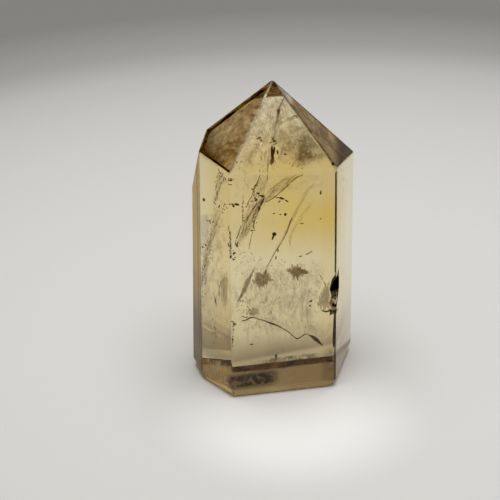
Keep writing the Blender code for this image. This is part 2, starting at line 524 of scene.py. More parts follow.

# dark marks on the surface: start and end of each in mm, radius in mm, strength
# painted shade: tip_left, tip_right, brow_left, brow_right, crest_left, crest_right, shoulder_left,
# front_right and apex, two of them over bright edge lines; the rest darken the left face, its front edge
# and the foot
DARK_MARKS = {
    "front_right": ((10.66, -12.74, 2.0), (10.55, -12.74, 54.0), 0.42, 0.9),
    "front_left": ((-13.35, -12.74, 35.5), (-13.35, -12.74, 41.5), 0.30, 0.6),
    "left_middle": ((-18.6, -1.0, 8.0), (-18.4, -1.0, 56.0), 0.8, 0.7),
    "left": ((-18.5, -2.35, 3.0), (-18.3, -2.8, 57.0), 0.34, 0.6),
    "tip_left": ((-13.35, -12.74, 55.9), (-1.5, -0.3, 69.9), 0.40, 0.35),
    "tip_right": ((10.54, -12.74, 54.9), (-0.1, 0.5, 70.4), 0.90, 0.60),
    "brow_left": ((-18.2, -3.0, 57.8), (-15.4, -8.4, 57.2), 1.8, 0.45),
    "brow_right": ((10.7, -12.4, 54.8), (18.9, 5.1, 50.4), 0.40, 0.55),
    "crest_left": ((-15.81, 0.78, 60.8), (-4.6, 1.2, 68.4), 0.48, 0.95),
    "shoulder_left": ((-18.3, -2.8, 57.4), (-15.81, 0.78, 60.8), 0.70, 0.6),
    "crest_right": ((19.0, 5.4, 50.4), (0.1, 1.5, 70.4), 0.40, 0.7),
    "foot_patch": ((-13.0, -12.74, 4.1), (-4.5, -12.74, 4.4), 2.9, 1.0),
    "foot_line": ((-13.2, -12.74, 7.3), (-4.0, -12.74, 7.9), 0.7, 0.45),
    "apex": ((-0.8, 0.9, 70.9), (-0.8, -0.4, 69.5), 1.3, 0.90),
    "foot_right": ((9.8, -12.74, 2.5), (9.9, -12.74, 8.6), 3.0, 0.42),
}
# share of a mark's radius that is full, strengths of the wide cloud and the fine grain in it, and
# the radius in mm past which they grow no stronger
MARK_CORE = 0.4
MARK_CLOUD = 0.7
MARK_GRAIN = 1.5
MARK_LIMIT = 1.3

# soft borders of the tints in mm: where each begins to change and where it is complete
BORDERS = {
    "back": (-11.5, -1.0), "far_back": (-11.0, 4.0), "front_edge": (-14.0, -12.9),
    "clear_left": (-15.0, -12.9), "clear_bottom": (12.0, 18.0), "clear_top": (33.0, 41.0),
    "right_side": (10.6, 11.2), "golden": (32.0, 43.0), "golden_tip": (54.0, 64.0),
    "golden_across": (-16.0, 4.0), "golden_brow": (44.0, 52.0), "golden_right": (-2.0, 8.0),
    "shade_top": (9.5, 18.0), "shade_bottom": (9.8, 10.9), "shade_left": (-18.5, -14.5),
    "shade_left_bottom": (6.0, 8.0), "strands_bottom": (12.0, 17.0), "strands_top": (26.0, 32.0),
    "base": (7.6, 8.4), "band_bottom": (7.0, 7.8), "band_top": (9.8, 10.6),
    "left_front": (-3.2, -2.4), "left_face": (-18.2, -16.0), "left_low": (10.0, 34.0),
    "foot": (1.5, 2.1), "foot_back": (0.0, 6.0),
}
# strength of each tint, and the share of it that is lost past a border
GOLDEN_LEFT = 0.45
GOLDEN_TIP_LOSS = 0.6
GOLDEN_BROW_LOSS = 0.4
SHADE_BASE = 0.35
SHADE_LEFT_LOSS = 0.38
PALE_STRANDS = 0.8
DARK_STRANDS = 0.45
BASE = 0.32
BASE_CLOUD = 0.8
BAND = 0.3
LEFT_FACE = 0.97
LEFT_LOW = 0.72
FOOT = 0.92
# mm that the cloud lifts or lowers the borders of the zones, and the rise of the base to the right
ZONE_DRIFT = 5.0
SHADE_DRIFT = 3.0
BASE_RISE = 0.09


def glass_material(glass):
    """Clear quartz: each zone of the surface has its own tint, and the depth absorbs light."""
    recipe = Recipe("citrine_glass")

    def past(value, border):
        return recipe.step(value, *BORDERS[border])

    def before(value, border):
        return 1.0 - past(value, border)

    place = recipe.place()
    x, y, z = (recipe.coordinate(place, axis) for axis in range(3))
    cloud = recipe.grain(place, 90.0, detail=3.0) - 0.5
    fine = recipe.grain(place, 700.0, rough=0.65) - 0.5
    height = z + cloud * ZONE_DRIFT
    level = z - x * BASE_RISE
    on_front = past(x, "front_edge")
    near = before(y, "far_back")

    clear = past(height, "clear_bottom") * before(height, "clear_top") * past(x, "clear_left")
    colour = recipe.blend(clear, tuple(glass.tint), tuple(glass.clear))
    colour = recipe.blend(past(x, "right_side"), colour, tuple(glass.straw))

    golden = past(height, "golden") * (1.0 - GOLDEN_TIP_LOSS * past(z, "golden_tip"))
    golden = golden * (GOLDEN_LEFT + (1.0 - GOLDEN_LEFT) * past(x, "golden_across"))
    brow = past(z, "golden_brow") * past(x, "golden_right")
    golden = golden * before(y, "back") * (1.0 - GOLDEN_BROW_LOSS * brow)
    colour = recipe.blend(golden, colour, tuple(glass.golden))

    # painted shade: a band low on the front, weaker below the base line, and the sides above the foot
    # are painted darker
    on_base = SHADE_BASE + (1.0 - SHADE_BASE) * past(level, "shade_bottom")
    on_left = (1.0 - SHADE_LEFT_LOSS * past(x, "shade_left")) * past(z, "shade_left_bottom")
    shade_and_strands = before(level + cloud * SHADE_DRIFT, "shade_top") * near
    shade_and_strands = shade_and_strands * (on_front * on_base + (1.0 - on_front) * on_left)
    colour = recipe.blend(shade_and_strands, colour, tuple(glass.shade_and_strands))

    strands = recipe.grain(recipe.place((1.0, 1.0, 0.4)), 380.0, detail=5.0, rough=0.72, twist=1.2)
    woven = past(height, "strands_bottom") * before(height, "strands_top") * near
    pale = woven * (1.0 - recipe.step(strands, 0.38, 0.52)) * PALE_STRANDS
    colour = recipe.blend(pale, colour, tuple(glass.pale))
    # the dark strands take the colour of the painted shade
    dark = woven * recipe.step(strands, 0.5, 0.62) * DARK_STRANDS
    colour = recipe.blend(dark, colour, tuple(glass.shade_and_strands))

    # painted shade: the front below the base line is painted darker
    base = before(level, "base") * near * on_front
    colour = recipe.blend(base * (BASE + cloud * BASE_CLOUD), colour, tuple(glass.foot))
    band = past(z, "band_bottom") * before(z, "band_top") * near * (1.0 - on_front)
    colour = recipe.blend(band * BAND, colour, tuple(glass.rust))

    left = past(y, "left_front") * before(x, "left_face")
    colour = recipe.blend(left * LEFT_FACE, colour, tuple(glass.rust))
    # the left face is darker towards the bottom
    left_low = left * before(height, "left_low") * LEFT_LOW
    colour = recipe.blend(left_low, colour, tuple(glass.dark_mark))

    # dark marks, painted shade where they lie along the tip's edges, the outline, the front right edge
    # and at the apex
    for start, end, radius, strength in DARK_MARKS.values():
        away = recipe.distance(place, Vector(start) * MM, Vector(end) * MM) / MM
        dark_mark = 1.0 - recipe.step(away + fine * radius, radius * MARK_CORE, radius)
        grain = (cloud * MARK_CLOUD + fine * MARK_GRAIN) * min(radius, MARK_LIMIT)
        colour = recipe.blend(dark_mark * (strength + grain), colour, tuple(glass.dark_mark))
    # painted shade: the lowest 2 mm of the front half are painted dark
    foot = before(z, "foot") * before(y, "foot_back") * (FOOT + cloud)
    colour = recipe.blend(foot, colour, tuple(glass.foot))

    rough = left * glass.left_roughness + glass.roughness
    shader = recipe.node("ShaderNodeBsdfPrincipled", {}, Base_Color=colour, Roughness=rough,
                         IOR=glass.ior, Transmission_Weight=1.0)
    depth = recipe.node("ShaderNodeVolumeAbsorption", {}, Color=tuple(glass.depth_colour),
                        Density=glass.depth_density)
    return recipe.finish(shader, depth)


def stone_copy(name):
    """A merged copy of the solid's mesh, with each flat face in one piece."""
    source = frame["nodes"][NODE]
    stone = bpy.data.objects.new(name, source.data.copy())
    bpy.context.scene.collection.objects.link(stone)
    only(stone)
    bpy.ops.object.mode_set(mode="EDIT")
    bpy.ops.mesh.select_all(action="SELECT")
    bpy.ops.mesh.remove_doubles(threshold=MERGE_WITHIN)
    bpy.ops.mesh.dissolve_limited(angle_limit=FLAT_WITHIN)
    bpy.ops.object.mode_set(mode="OBJECT")
    return stone


class CITRINE_OT_stone(bpy.types.Operator):
    """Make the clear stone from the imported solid"""

    bl_idname = "citrine.stone"
    bl_label = "Stone"

    def execute(self, context):
        stone = stone_copy("citrine_stone")
        settle(stone, "citrine_stone", glass_material(context.scene.citrine_glass))
        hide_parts(NODE)
        return {"FINISHED"}


# ---------------------------------------------------------------- cloud under the tip's facets

# heights in mm between which the haze thins towards the tip, and the share that it loses there
HAZE_TIP = (66.8, 67.8)
HAZE_TIP_LOSS = 0.7
# mm below and above its fading height between which the haze fades, and how far that height drifts
HAZE_BELOW = 1.0
HAZE_ABOVE = 3.0
HAZE_DRIFT = 5.0


def haze_material(name, cover, deepen, colours, grain, shade_from, shade_to, fade):
    """Cloud under a facet, darker from one place towards another, thin near the tip."""
    recipe = Recipe(name)
    place = recipe.place()
    z = recipe.coordinate(place, 2)
    billow = recipe.grain(place, grain, detail=5.0, rough=0.68, twist=1.0)
    mottle = recipe.grain(place, grain * 2.6, detail=5.0, rough=0.7, twist=1.2)
    fine = recipe.grain(place, grain * 7.0, rough=0.75, twist=0.5)
    drift = billow - 0.5
    share = recipe.step(billow * 0.86 + fine * 0.14, 0.38, 0.56)

    start, end = Vector(shade_from) * MM, Vector(shade_to) * MM
    way = end - start
    along = recipe.vector("DOT_PRODUCT", place, tuple(way), output="Value")
    shade = recipe.step((along - start.dot(way)) / way.length_squared + drift * 0.5, 0.0, 1.0)
    light, middle, dark = colours
    colour = recipe.blend(share, tuple(middle), tuple(light))
    colour = recipe.blend(shade * 0.9, colour, tuple(dark))

    alpha = cover + shade * deepen + (share - 0.5) * 0.3
    alpha = alpha * (1.0 - HAZE_TIP_LOSS * recipe.step(z, *HAZE_TIP))
    alpha = alpha * (0.68 + 0.55 * recipe.step(mottle, 0.38, 0.62))
    alpha = alpha * recipe.step(z + drift * HAZE_DRIFT, fade - HAZE_BELOW, fade + HAZE_ABOVE)
    return recipe.mineral(colour, alpha)


class CITRINE_OT_haze(bpy.types.Operator):
    """Hang cloud under each sloping facet of the tip"""

    bl_idname = "citrine.haze"
    bl_label = "Tip haze"

    # facet normal, grain per metre, opacity, and how much denser it gets from one place to another,
    # both in mm, as it darkens
    FACETS = {
        "left": ((-0.52, -0.37, 0.77), 170, 0.76, 0.16, (-12.5, -5, 60.5), (-18, -3, 57)),
        "right": ((0.73, -0.18, 0.66), 150, 0.86, 0.08, (11.3, -2.8, 56.6), (14.0, -3.5, 53.5)),
        "front": ((0.03, -0.75, 0.66), 140, 0.06, 0.34, (0, -4, 64), (9, -8, 59)),
        "back_left": ((-0.52, 0.44, 0.73), 140, 0.5, 0.3, (-8, 4, 62), (-17, 8, 48)),
        "back_right": ((0.66, 0.30, 0.69), 140, 0.5, 0.3, (10, 6, 58), (17, 10, 48)),
        "back": ((0.0, 0.68, 0.73), 140, 0.4, 0.2, (0, 6, 60), (0, 12, 50)),
        "left_shoulder": ((-0.89, 0.38, 0.25), 140, 0.6, 0.3, (-15, 2, 60), (-18, 4, 46)),
    }
    # slide along the facet in mm, and the height in mm where the haze fades out at the bottom
    SLIDES = {"left": (0.28, -0.48, 0.0)}
    FADES = {"front": 56.5}
    # mm that a sheet lies under its facet and inside the facet's border, and its cuts for waves
    DEPTH = 0.35
    INSET = 0.25
    CUTS = 6
    # a facet is a face that looks along the facet's normal and isn't a sliver of its edge
    ALONG_NORMAL = 0.995
    LEAST_AREA = 20 * MM * MM
    # waves per mm, their height in mm, and how many heights lower than the sheet they lie
    WAVES = 0.4
    WAVE_HEIGHT = 0.2
    WAVE_DROP = 0.6

    def execute(self, context):
        inside = context.scene.citrine_inside
        colours = (inside.haze_light, inside.haze_middle, inside.haze_dark)
        for name, (normal, grain, cover, deepen, start, end) in self.FACETS.items():
            slide = Vector(self.SLIDES.get(name, (0.0, 0.0, 0.0))) * MM
            full_name = "tip_haze_" + name
            piece = self.facet_sheet(full_name, Vector(normal).normalized(), slide,
                                     inside.sheet_thickness)
            settle(piece, full_name, haze_material(
                full_name, cover, deepen, colours, grain, start, end, self.FADES.get(name, 0)))
        return {"FINISHED"}

    def facet_sheet(self, name, normal, slide, thickness):
        """A waved sheet just under the facet that looks along normal."""
        piece = stone_copy(name)
        keep_faces(piece, lambda face: face.normal.dot(normal) >= self.ALONG_NORMAL
                   and face.area >= self.LEAST_AREA)
        bpy.ops.object.mode_set(mode="EDIT")
        bpy.ops.mesh.select_all(action="SELECT")
        bpy.ops.mesh.inset(thickness=self.INSET * MM, depth=-self.DEPTH * MM)
        bpy.ops.mesh.select_all(action="INVERT")
        bpy.ops.mesh.delete(type="FACE")
        bpy.ops.mesh.select_all(action="SELECT")
        bpy.ops.mesh.quads_convert_to_tris()
        bpy.ops.mesh.subdivide(number_cuts=self.CUTS)
        bpy.ops.object.mode_set(mode="OBJECT")
        for vertex in piece.data.vertices:
            wave = noise.noise(vertex.co / MM * self.WAVES) - self.WAVE_DROP
            vertex.co = vertex.co + slide + normal * wave * self.WAVE_HEIGHT * MM
        thicken(piece, thickness)
        return piece


# ---------------------------------------------------------------- veils

def veil_material(name, cover, streak, light, dark):
    """Sheet of tiny bubbles and healed cracks: streaks along it, fading out towards its ragged borders.
    """
    recipe = Recipe(name)
    along = recipe.place((1.0, 1.0 / streak, 1.0), "UV")
    lines = recipe.grain(along, 14.0, detail=5.0, rough=0.65, twist=0.5)
    spots = recipe.grain(recipe.place(), 2600.0, detail=3.0, rough=0.6)
    streaks = recipe.step(lines + (spots - 0.5) * 0.5, 0.44, 0.66)
    ragged = (spots - 0.5) * 1.2 + (lines - 0.5) * 0.8
    border = recipe.step(recipe.rim() + ragged, 0.05, 0.95)
    colour = recipe.blend(recipe.step(spots + lines * 0.5, 0.55, 0.95), tuple(dark), tuple(light))
    alpha = cover * (0.16 + 0.84 * streaks) * border
    return recipe.mineral(colour, alpha)


class CITRINE_OT_veils(bpy.types.Operator):
    """Stretch the healed cracks through the stone"""

    bl_idname = "citrine.veils"
    bl_label = "Veils"

    # name: opacity, streak length, border lines as spots of (across, down, depth)
    VEILS = {
        "crest": (0.34, 4.0, (
            ((281, 98, 1.5), (276, 112, 2), (272, 125, 3), (270, 140, 4), (268, 152, 4),
             (265, 166, 4)),
            ((286, 98, 2), (281, 112, 3), (279, 125, 4), (277, 140, 5), (275, 152, 6),
             (272, 166, 6)))),
        "upper": (0.34, 5.0, (
            ((260, 175, 3), (256, 184, 3), (253, 191, 3.5), (250, 200, 4), (246, 208, 4.5),
             (241, 225, 3), (238, 236, 2), (235, 246, 1.2)),
            ((268, 175, 7), (267, 183, 7), (265, 192, 7), (262, 203, 7), (258, 214, 7),
             (254, 228, 6), (246, 238, 4), (239, 250, 2)))),
        "main": (0.50, 6.0, (
            ((302, 174, 3), (297, 178, 3), (286, 187, 3.5), (275, 196, 4),
             (265, 203, 4.5), (258, 213, 5), (252, 226, 4), (246, 240, 2)),
            ((288, 174, 5), (284, 177, 5), (275, 184, 6), (267, 191, 7),
             (262, 197, 7), (254, 207, 6), (246, 220, 4), (238, 240, 2)))),
        "main_top": (0.40, 5.0, (
            ((324, 156, 1.5), (314, 162, 1.5), (305, 168, 1.5)),
            ((300, 148, 3), (294, 158, 3), (288, 168, 3)))),
        "right": (0.40, 6.0, (
            ((315, 181, 4), (306, 190, 4), (299, 202, 5), (293, 213, 5), (288, 224, 6),
             (283, 236, 7), (276, 248, 8), (268, 263, 8)),
            ((319, 180, 7), (310, 190, 7), (303, 202, 7), (297, 213, 8), (291, 224, 8),
             (285, 236, 9), (278, 248, 9), (270, 263, 9)))),
        "right_outer": (0.30, 5.0, (
            ((310, 200, 6), (304, 210, 6), (297, 220, 7), (291, 230, 7), (288, 240, 8),
             (290, 248, 8)),
            ((314, 202, 7), (307, 212, 7), (300, 222, 8), (294, 232, 8), (291, 242, 9),
             (292, 250, 9)))),
        "branch": (0.40, 4.0, (
            ((276, 125, 2), (284, 120, 2), (291, 116, 2), (299, 114, 2)),
            ((278, 128, 4), (286, 123, 4), (293, 120, 4), (300, 118, 4)))),
        "left_upper": (0.64, 4.0, (
            ((219, 171, 1.5), (217, 180, 2), (215, 190, 2), (214, 203, 2)),
            ((225, 172, 3), (222, 181, 3), (220, 191, 3), (217, 203, 3)))),
        "left_lower": (0.62, 5.0, (
            ((215, 206, 2), (211, 225, 2), (207, 240, 2), (202, 262, 2), (200, 290, 2)),
            ((224, 206, 4), (219, 222, 4), (214, 240, 4), (210, 258, 4), (206, 290, 4)))),
    }
    ROWS = 48
    COLUMNS = 10
    RUFFLE = 0.35

    def execute(self, context):
        inside = context.scene.citrine_inside
        sight = Sight(context.scene)
        for number, (name, (cover, streak, rails)) in enumerate(self.VEILS.items()):
            piece = sheet(sight, rails, self.ROWS, self.COLUMNS, self.RUFFLE,
                          inside.sheet_thickness, number)
            material = veil_material("veil_" + name, cover, streak, inside.veil_light,
                                     inside.veil_dark)
            settle(piece, "veil_" + name, material)
        return {"FINISHED"}


# ---------------------------------------------------------------- specks

class CITRINE_OT_specks(bpy.types.Operator):
    """Scatter the dark mineral specks"""

    bl_idname = "citrine.specks"
    bl_label = "Specks"

    # across, down, depth in mm, width and height in units of the view, turn in degrees
    SPECKS = (
        (272.6, 155.5, 2.0, 2.6, 14.0, 4), (274.0, 151, 2.0, 1.8, 7.0, -10),
        (271.4, 162, 2.2, 2.4, 5.0, 12), (274.4, 141.0, 2.0, 3.4, 2.2, -35),
        (272.4, 138.6, 2.0, 1.4, 3.4, 20), (276.0, 143.6, 2.0, 1.2, 3.2, -50),
        (271.0, 142.4, 2.0, 2.6, 0.8, 15), (278.6, 111, 2.0, 2.4, 5.0, 10),
        (259, 138, 2.0, 4.5, 1.6, 25), (261.2, 140.3, 2.0, 2.0, 2.4, 0),
        (277.5, 152, 2.5, 1.6, 4.0, 10), (285.2, 154.3, 3.0, 3.0, 1.6, 0),
        (235.6, 162, 2.0, 2.4, 2.4, 30), (203.8, 199.8, 1.5, 3.2, 3.2, 40),
        (219.2, 206.2, 2.0, 3.6, 1.6, 50), (236.6, 204.4, 0.7, 5.0, 2.0, -12),
        (233.6, 206.0, 0.7, 2.2, 2.4, 30), (281.5, 198.3, 5.0, 5.0, 2.2, -20),
        (286.5, 200.8, 5.0, 4.0, 1.2, -32), (279.4, 201.5, 5.0, 3.0, 1.2, 40),
        (277.5, 197.5, 5.0, 2.5, 1.0, 0), (285.3, 214.4, 4.0, 2.4, 2.8, 0),
        (274, 213.5, 4.0, 2.4, 1.0, 10), (280.5, 214.5, 4.0, 2.4, 0.9, 0),
        (274.2, 234.0, 5.0, 3.8, 3.6, 15), (273.0, 237.3, 5.0, 1.8, 5.6, -22),
        (301.5, 223.6, 5.0, 3.8, 0.9, 0), (320.7, 192.4, 4.0, 1.6, 3.8, 0),
        (320.5, 218.8, 4.0, 1.2, 1.2, 0), (252, 230.5, 3.0, 3.0, 1.2, 5),
        (256, 200, 3.0, 3.0, 2.0, 40), (258, 193.5, 3.0, 3.0, 1.8, -20),
        (262.0, 196.0, 3.5, 5.5, 1.6, -12), (262.2, 202.0, 4.0, 1.6, 9.0, -24),
        (259.0, 208.5, 4.2, 2.0, 5.0, 10), (237, 245.5, 4.0, 1.6, 4.0, 10),
        (234.2, 253.2, 0.6, 2.4, 2.0, 40), (233.8, 259.4, 0.6, 2.4, 1.2, 0),
        (205.8, 245.2, 1.5, 2.4, 2.0, 30), (202.8, 247.0, 1.5, 2.0, 2.0, 0),
        (209.5, 221.0, 2.0, 2.4, 1.6, -30), (300.5, 256.3, 5.0, 3.0, 1.0, 8),
        (308, 253.6, 5.0, 4.6, 0.9, 22), (311, 251.8, 5.0, 2.0, 0.8, 30),
        (276, 257.8, 5.0, 1.2, 3.0, 0), (278, 250.5, 6.0, 1.2, 3.4, 0),
        (252, 344.3, 2.5, 3.8, 1.2, 6), (276, 356.0, 2.5, 2.2, 3.6, 0),
        (311, 301.0, 3.0, 2.4, 2.0, 0), (310, 305.8, 3.0, 2.0, 1.6, 0),
        (234.4, 324.4, 0.6, 2.8, 2.2, 30), (193.8, 272.3, 0.8, 4.6, 3.0, -30),
        (196.6, 276.0, 0.8, 1.6, 3.0, 10), (343.7, 178.6, 0.6, 2.0, 3.4, 0),
        (346.8, 181.4, 0.6, 1.8, 2.6, 0), (343.2, 189.8, 0.6, 2.0, 2.4, 0),
        (350.0, 167.0, 0.6, 1.2, 4.6, 0), (342.0, 170.0, 0.6, 1.6, 3.0, 10),
        (333.0, 164.0, 0.8, 3.0, 1.6, -50),
    )

    # strings of crumbs: depth in mm, how many, how far they stray, spots of (across, down)
    TRAILS = (
        (1.5, 34, 0.9, ((219.5, 170.5), (217, 178), (216, 186), (216.5, 192), (215, 199), (214.5, 205))),
        (1.5, 18, 1.4, ((221, 176), (226, 179.5), (232, 181))),
        (1.5, 10, 1.0, ((225, 178), (220, 185))),
        (1.5, 12, 1.3, ((209, 220), (213, 223), (218, 226))),
        (1.5, 30, 2.2, ((202, 247), (206, 245), (209, 250), (206, 257))),
        (0.5, 26, 0.4, ((228, 226), (229.6, 232), (229.8, 240), (230.4, 250), (230.6, 258))),
        (1.5, 14, 1.2, ((222, 204), (227, 204), (224, 209), (222, 211))),
        (3.0, 8, 0.5, ((243, 203), (243, 212), (243.5, 220))),
        (3.0, 16, 1.1, ((255, 185), (252, 190), (254, 196), (251, 202), (247, 207))),
        (3.0, 12, 0.9, ((259, 209), (256, 216), (255, 224), (254, 231))),
        (1.3, 34, 1.8, ((207, 260), (204, 275), (202, 290), (203, 305))),
        (1.3, 20, 1.6, ((211, 318), (214, 330), (217, 343))),
        (0.6, 9, 0.8, ((232.8, 251), (233.6, 256), (233.6, 261))),
        (0.6, 5, 0.7, ((233, 322), (234.4, 326))),
        (0.4, 12, 0.5, ((233.6, 330), (232.6, 337), (232.6, 346))),
        (2.5, 20, 1.6, ((240, 300), (246, 306), (249, 314), (243, 318))),
    )
    CRUMB_SIZES = (0.6, 1.7)
    SEED = 5
    # coarse and fine dents per diameter, how much lower the fine ones are, and their height
    COARSE = 3.0
    FINE = 8.0
    FINE_SHARE = 0.6
    ROUGHENING = 0.55
    # thickness of a speck as a share of its lesser width, which counts as this much at least
    THICKNESS = 0.8
    LEAST_WIDTH = 1.0

    def execute(self, context):
        inside = context.scene.citrine_inside
        sight = Sight(context.scene)
        pieces = []
        for fineness, grains in ((3, self.SPECKS), (2, self.crumbs())):
            bpy.ops.object.select_all(action="DESELECT")
            bpy.ops.mesh.primitive_ico_sphere_add(subdivisions=fineness, radius=0.5)
            model = bpy.context.object
            for grain in grains:
                pieces.append(self.copy(sight, model.data, len(pieces), *grain))
            bpy.data.objects.remove(model)
        settle(join(pieces), "specks", self.material(inside))
        return {"FINISHED"}

    def crumbs(self):
        """Across, down, depth, width, height and turn of each crumb of the trails."""
        dice = random.Random(self.SEED)
        for depth, count, stray, spots in self.TRAILS:
            for across, down in resample(spots, count):
                yield (across + dice.gauss(0.0, stray), down + dice.gauss(0.0, stray), depth,
                       dice.uniform(*self.CRUMB_SIZES), dice.uniform(*self.CRUMB_SIZES),
                       dice.uniform(-90.0, 90.0))

    def copy(self, sight, model, number, across, down, depth, width, height, turn):
        """A dented copy of the model, at its place in the stone."""
        mesh = model.copy()
        centre = sight.inside(across, down, depth)
        angle = math.radians(turn)
        side = sight.right * math.cos(angle) + sight.up * math.sin(angle)
        rise = sight.up * math.cos(angle) - sight.right * math.sin(angle)
        offset = Vector((number * 3.7, number * 1.9, 0.0))
        thick = max(min(width, height), self.LEAST_WIDTH) * self.THICKNESS
        for vertex in mesh.vertices:
            dent = noise.noise(vertex.co * self.COARSE + offset)
            dent += self.FINE_SHARE * noise.noise(vertex.co * self.FINE + offset)
            local = vertex.co * (1.0 + self.ROUGHENING * dent)
            vertex.co = centre + (side * local.x * width + rise * local.y * height
                                  + sight.back * local.z * thick) * MM / SEEN_PER_MM
        piece = bpy.data.objects.new("speck", mesh)
        bpy.context.scene.collection.objects.link(piece)
        return piece

    def material(self, inside):
        recipe = Recipe("speck_mineral")
        grain = recipe.grain(recipe.place(), 3000.0, detail=3.0)
        rust = tuple(channel * 4.0 for channel in inside.speck)
        colour = recipe.blend(recipe.step(grain, 0.45, 0.7), tuple(inside.speck), rust)
        return recipe.mineral(colour)


# ---------------------------------------------------------------- flakes

class CITRINE_OT_flakes(bpy.types.Operator):
    """Set the thin ragged flakes"""

    bl_idname = "citrine.flakes"
    bl_label = "Flakes"

    # name: depth in mm, opacity, raggedness, outline of (across, down)
    FLAKES = {
        "long": (3.0, 0.50, 1.2, ((256, 266), (250, 283), (246, 293), (242, 298), (236, 304),
                                  (241, 292), (245, 281), (250, 273))),
        "leaf": (3.0, 0.56, 2.0, ((266, 267), (269, 273), (275, 279), (271, 281), (268, 284),
                                  (265.5, 284), (265, 290), (261, 287.5), (257, 289), (254, 284),
                                  (250.5, 281), (253.5, 277), (256, 272), (261, 274.5))),
        "dart": (3.0, 0.60, 2.6, ((310, 272.5), (304, 274.5), (300, 276), (297.5, 282), (295.5, 278),
                                  (293, 281), (291.5, 276), (288.5, 273), (286, 268), (290, 267),
                                  (293, 264.5), (298, 266), (304, 267.5))),
        "dart_core": (2.8, 0.85, 1.0, ((308.5, 272.5), (304, 274), (299, 273.6), (296, 270.5),
                                       (299, 267.5), (304, 269.5))),
        "left_plate": (1.5, 0.34, 1.0, ((228.0, 271), (228.3, 300), (225, 312), (221, 300),
                                        (219.5, 285), (222, 276), (225, 271))),
        "loop": (3.0, 0.36, 1.6, ((259, 309), (259.5, 314), (254, 316.5), (249, 315), (250, 309),
                                  (254, 306.5))),
        "cleft_plate": (1.8, 0.38, 0.6, ((329.5, 281), (330, 296), (329.5, 311), (322, 311.5),
                                         (317.5, 306), (318.5, 296), (323, 287))),
    }
    # times that each edge of the outline is halved, teeth per unit of the view, how much smaller
    # the teeth get each time, how far apart the teeth of two flakes are read, and how many mm a
    # flake's depth changes per unit of the view
    HALVINGS = 4
    TEETH = 1.7
    SMALLER = 1.6
    TEETH_STEP = 5.0
    TILT = (0.04, -0.03)

    def execute(self, context):
        inside = context.scene.citrine_inside
        sight = Sight(context.scene)
        for number, (name, (depth, cover, ragged, outline)) in enumerate(self.FLAKES.items()):
            piece = self.flake(sight, inside, number, depth, ragged, outline)
            settle(piece, "flake_" + name, self.material(inside, name, cover))
        return {"FINISHED"}

    def flake(self, sight, inside, number, depth, ragged, outline):
        """A thin plate inside a ragged outline."""
        points = [Vector(p) for p in outline]
        for level in range(self.HALVINGS):
            finer = []
            for a, b in zip(points, points[1:] + points[:1]):
                middle = (a + b) / 2
                wave = noise.noise(Vector((
                    middle.x * self.TEETH, middle.y * self.TEETH,
                    number * self.TEETH_STEP + level)))
                out = Vector((b.y - a.y, a.x - b.x)).normalized()
                finer += [a, middle + out * wave * ragged * self.SMALLER / (self.SMALLER ** level)]
            points = finer
        bpy.ops.object.select_all(action="DESELECT")
        bpy.ops.mesh.primitive_circle_add(vertices=len(points), radius=1.0, fill_type="NGON")
        piece = bpy.context.object
        for vertex, spot in zip(piece.data.vertices, points):
            tilt = self.TILT[0] * (spot.x - points[0].x) + self.TILT[1] * (spot.y - points[0].y)
            vertex.co = sight.inside(spot.x, spot.y, depth + tilt)
        bpy.ops.object.mode_set(mode="EDIT")
        bpy.ops.mesh.select_all(action="SELECT")
        bpy.ops.mesh.poke()
        bpy.ops.object.mode_set(mode="OBJECT")
        rim = piece.data.attributes.new("rim", "FLOAT", "POINT")
        rim.data[len(points)].value = 1.0
        thicken(piece, inside.sheet_thickness * 2)
        face_outwards()
        return piece

    def material(self, inside, name, cover):
        """Brown plate whose border is eaten away by upright strokes."""
        recipe = Recipe("flake_" + name)
        place = recipe.place()
        upright = recipe.place((1.0, 1.0, 0.22))
        cloud = recipe.grain(place, 500.0, rough=0.6, twist=0.5)
        fine = recipe.grain(place, 2200.0, detail=3.0, rough=0.7, twist=0.5)
        strokes = recipe.grain(upright, 2600.0, detail=2.0, rough=0.6, twist=0.4)
        light = tuple(0.35 * a + 0.65 * b for a, b in zip(inside.veil_dark, inside.veil_light))
        colour = recipe.blend(recipe.step(cloud * 0.5 + fine * 0.5, 0.38, 0.56),
                              tuple(inside.veil_dark), light)
        body = cover * (0.8 + 0.3 * recipe.step(cloud, 0.3, 0.7))
        ragged = (fine - 0.5) * 0.7 + (strokes - 0.5) * 1.6
        alpha = body * recipe.step(recipe.rim() + ragged, -0.02, 0.30)
        return recipe.mineral(colour, alpha)


# ---------------------------------------------------------------- cracks

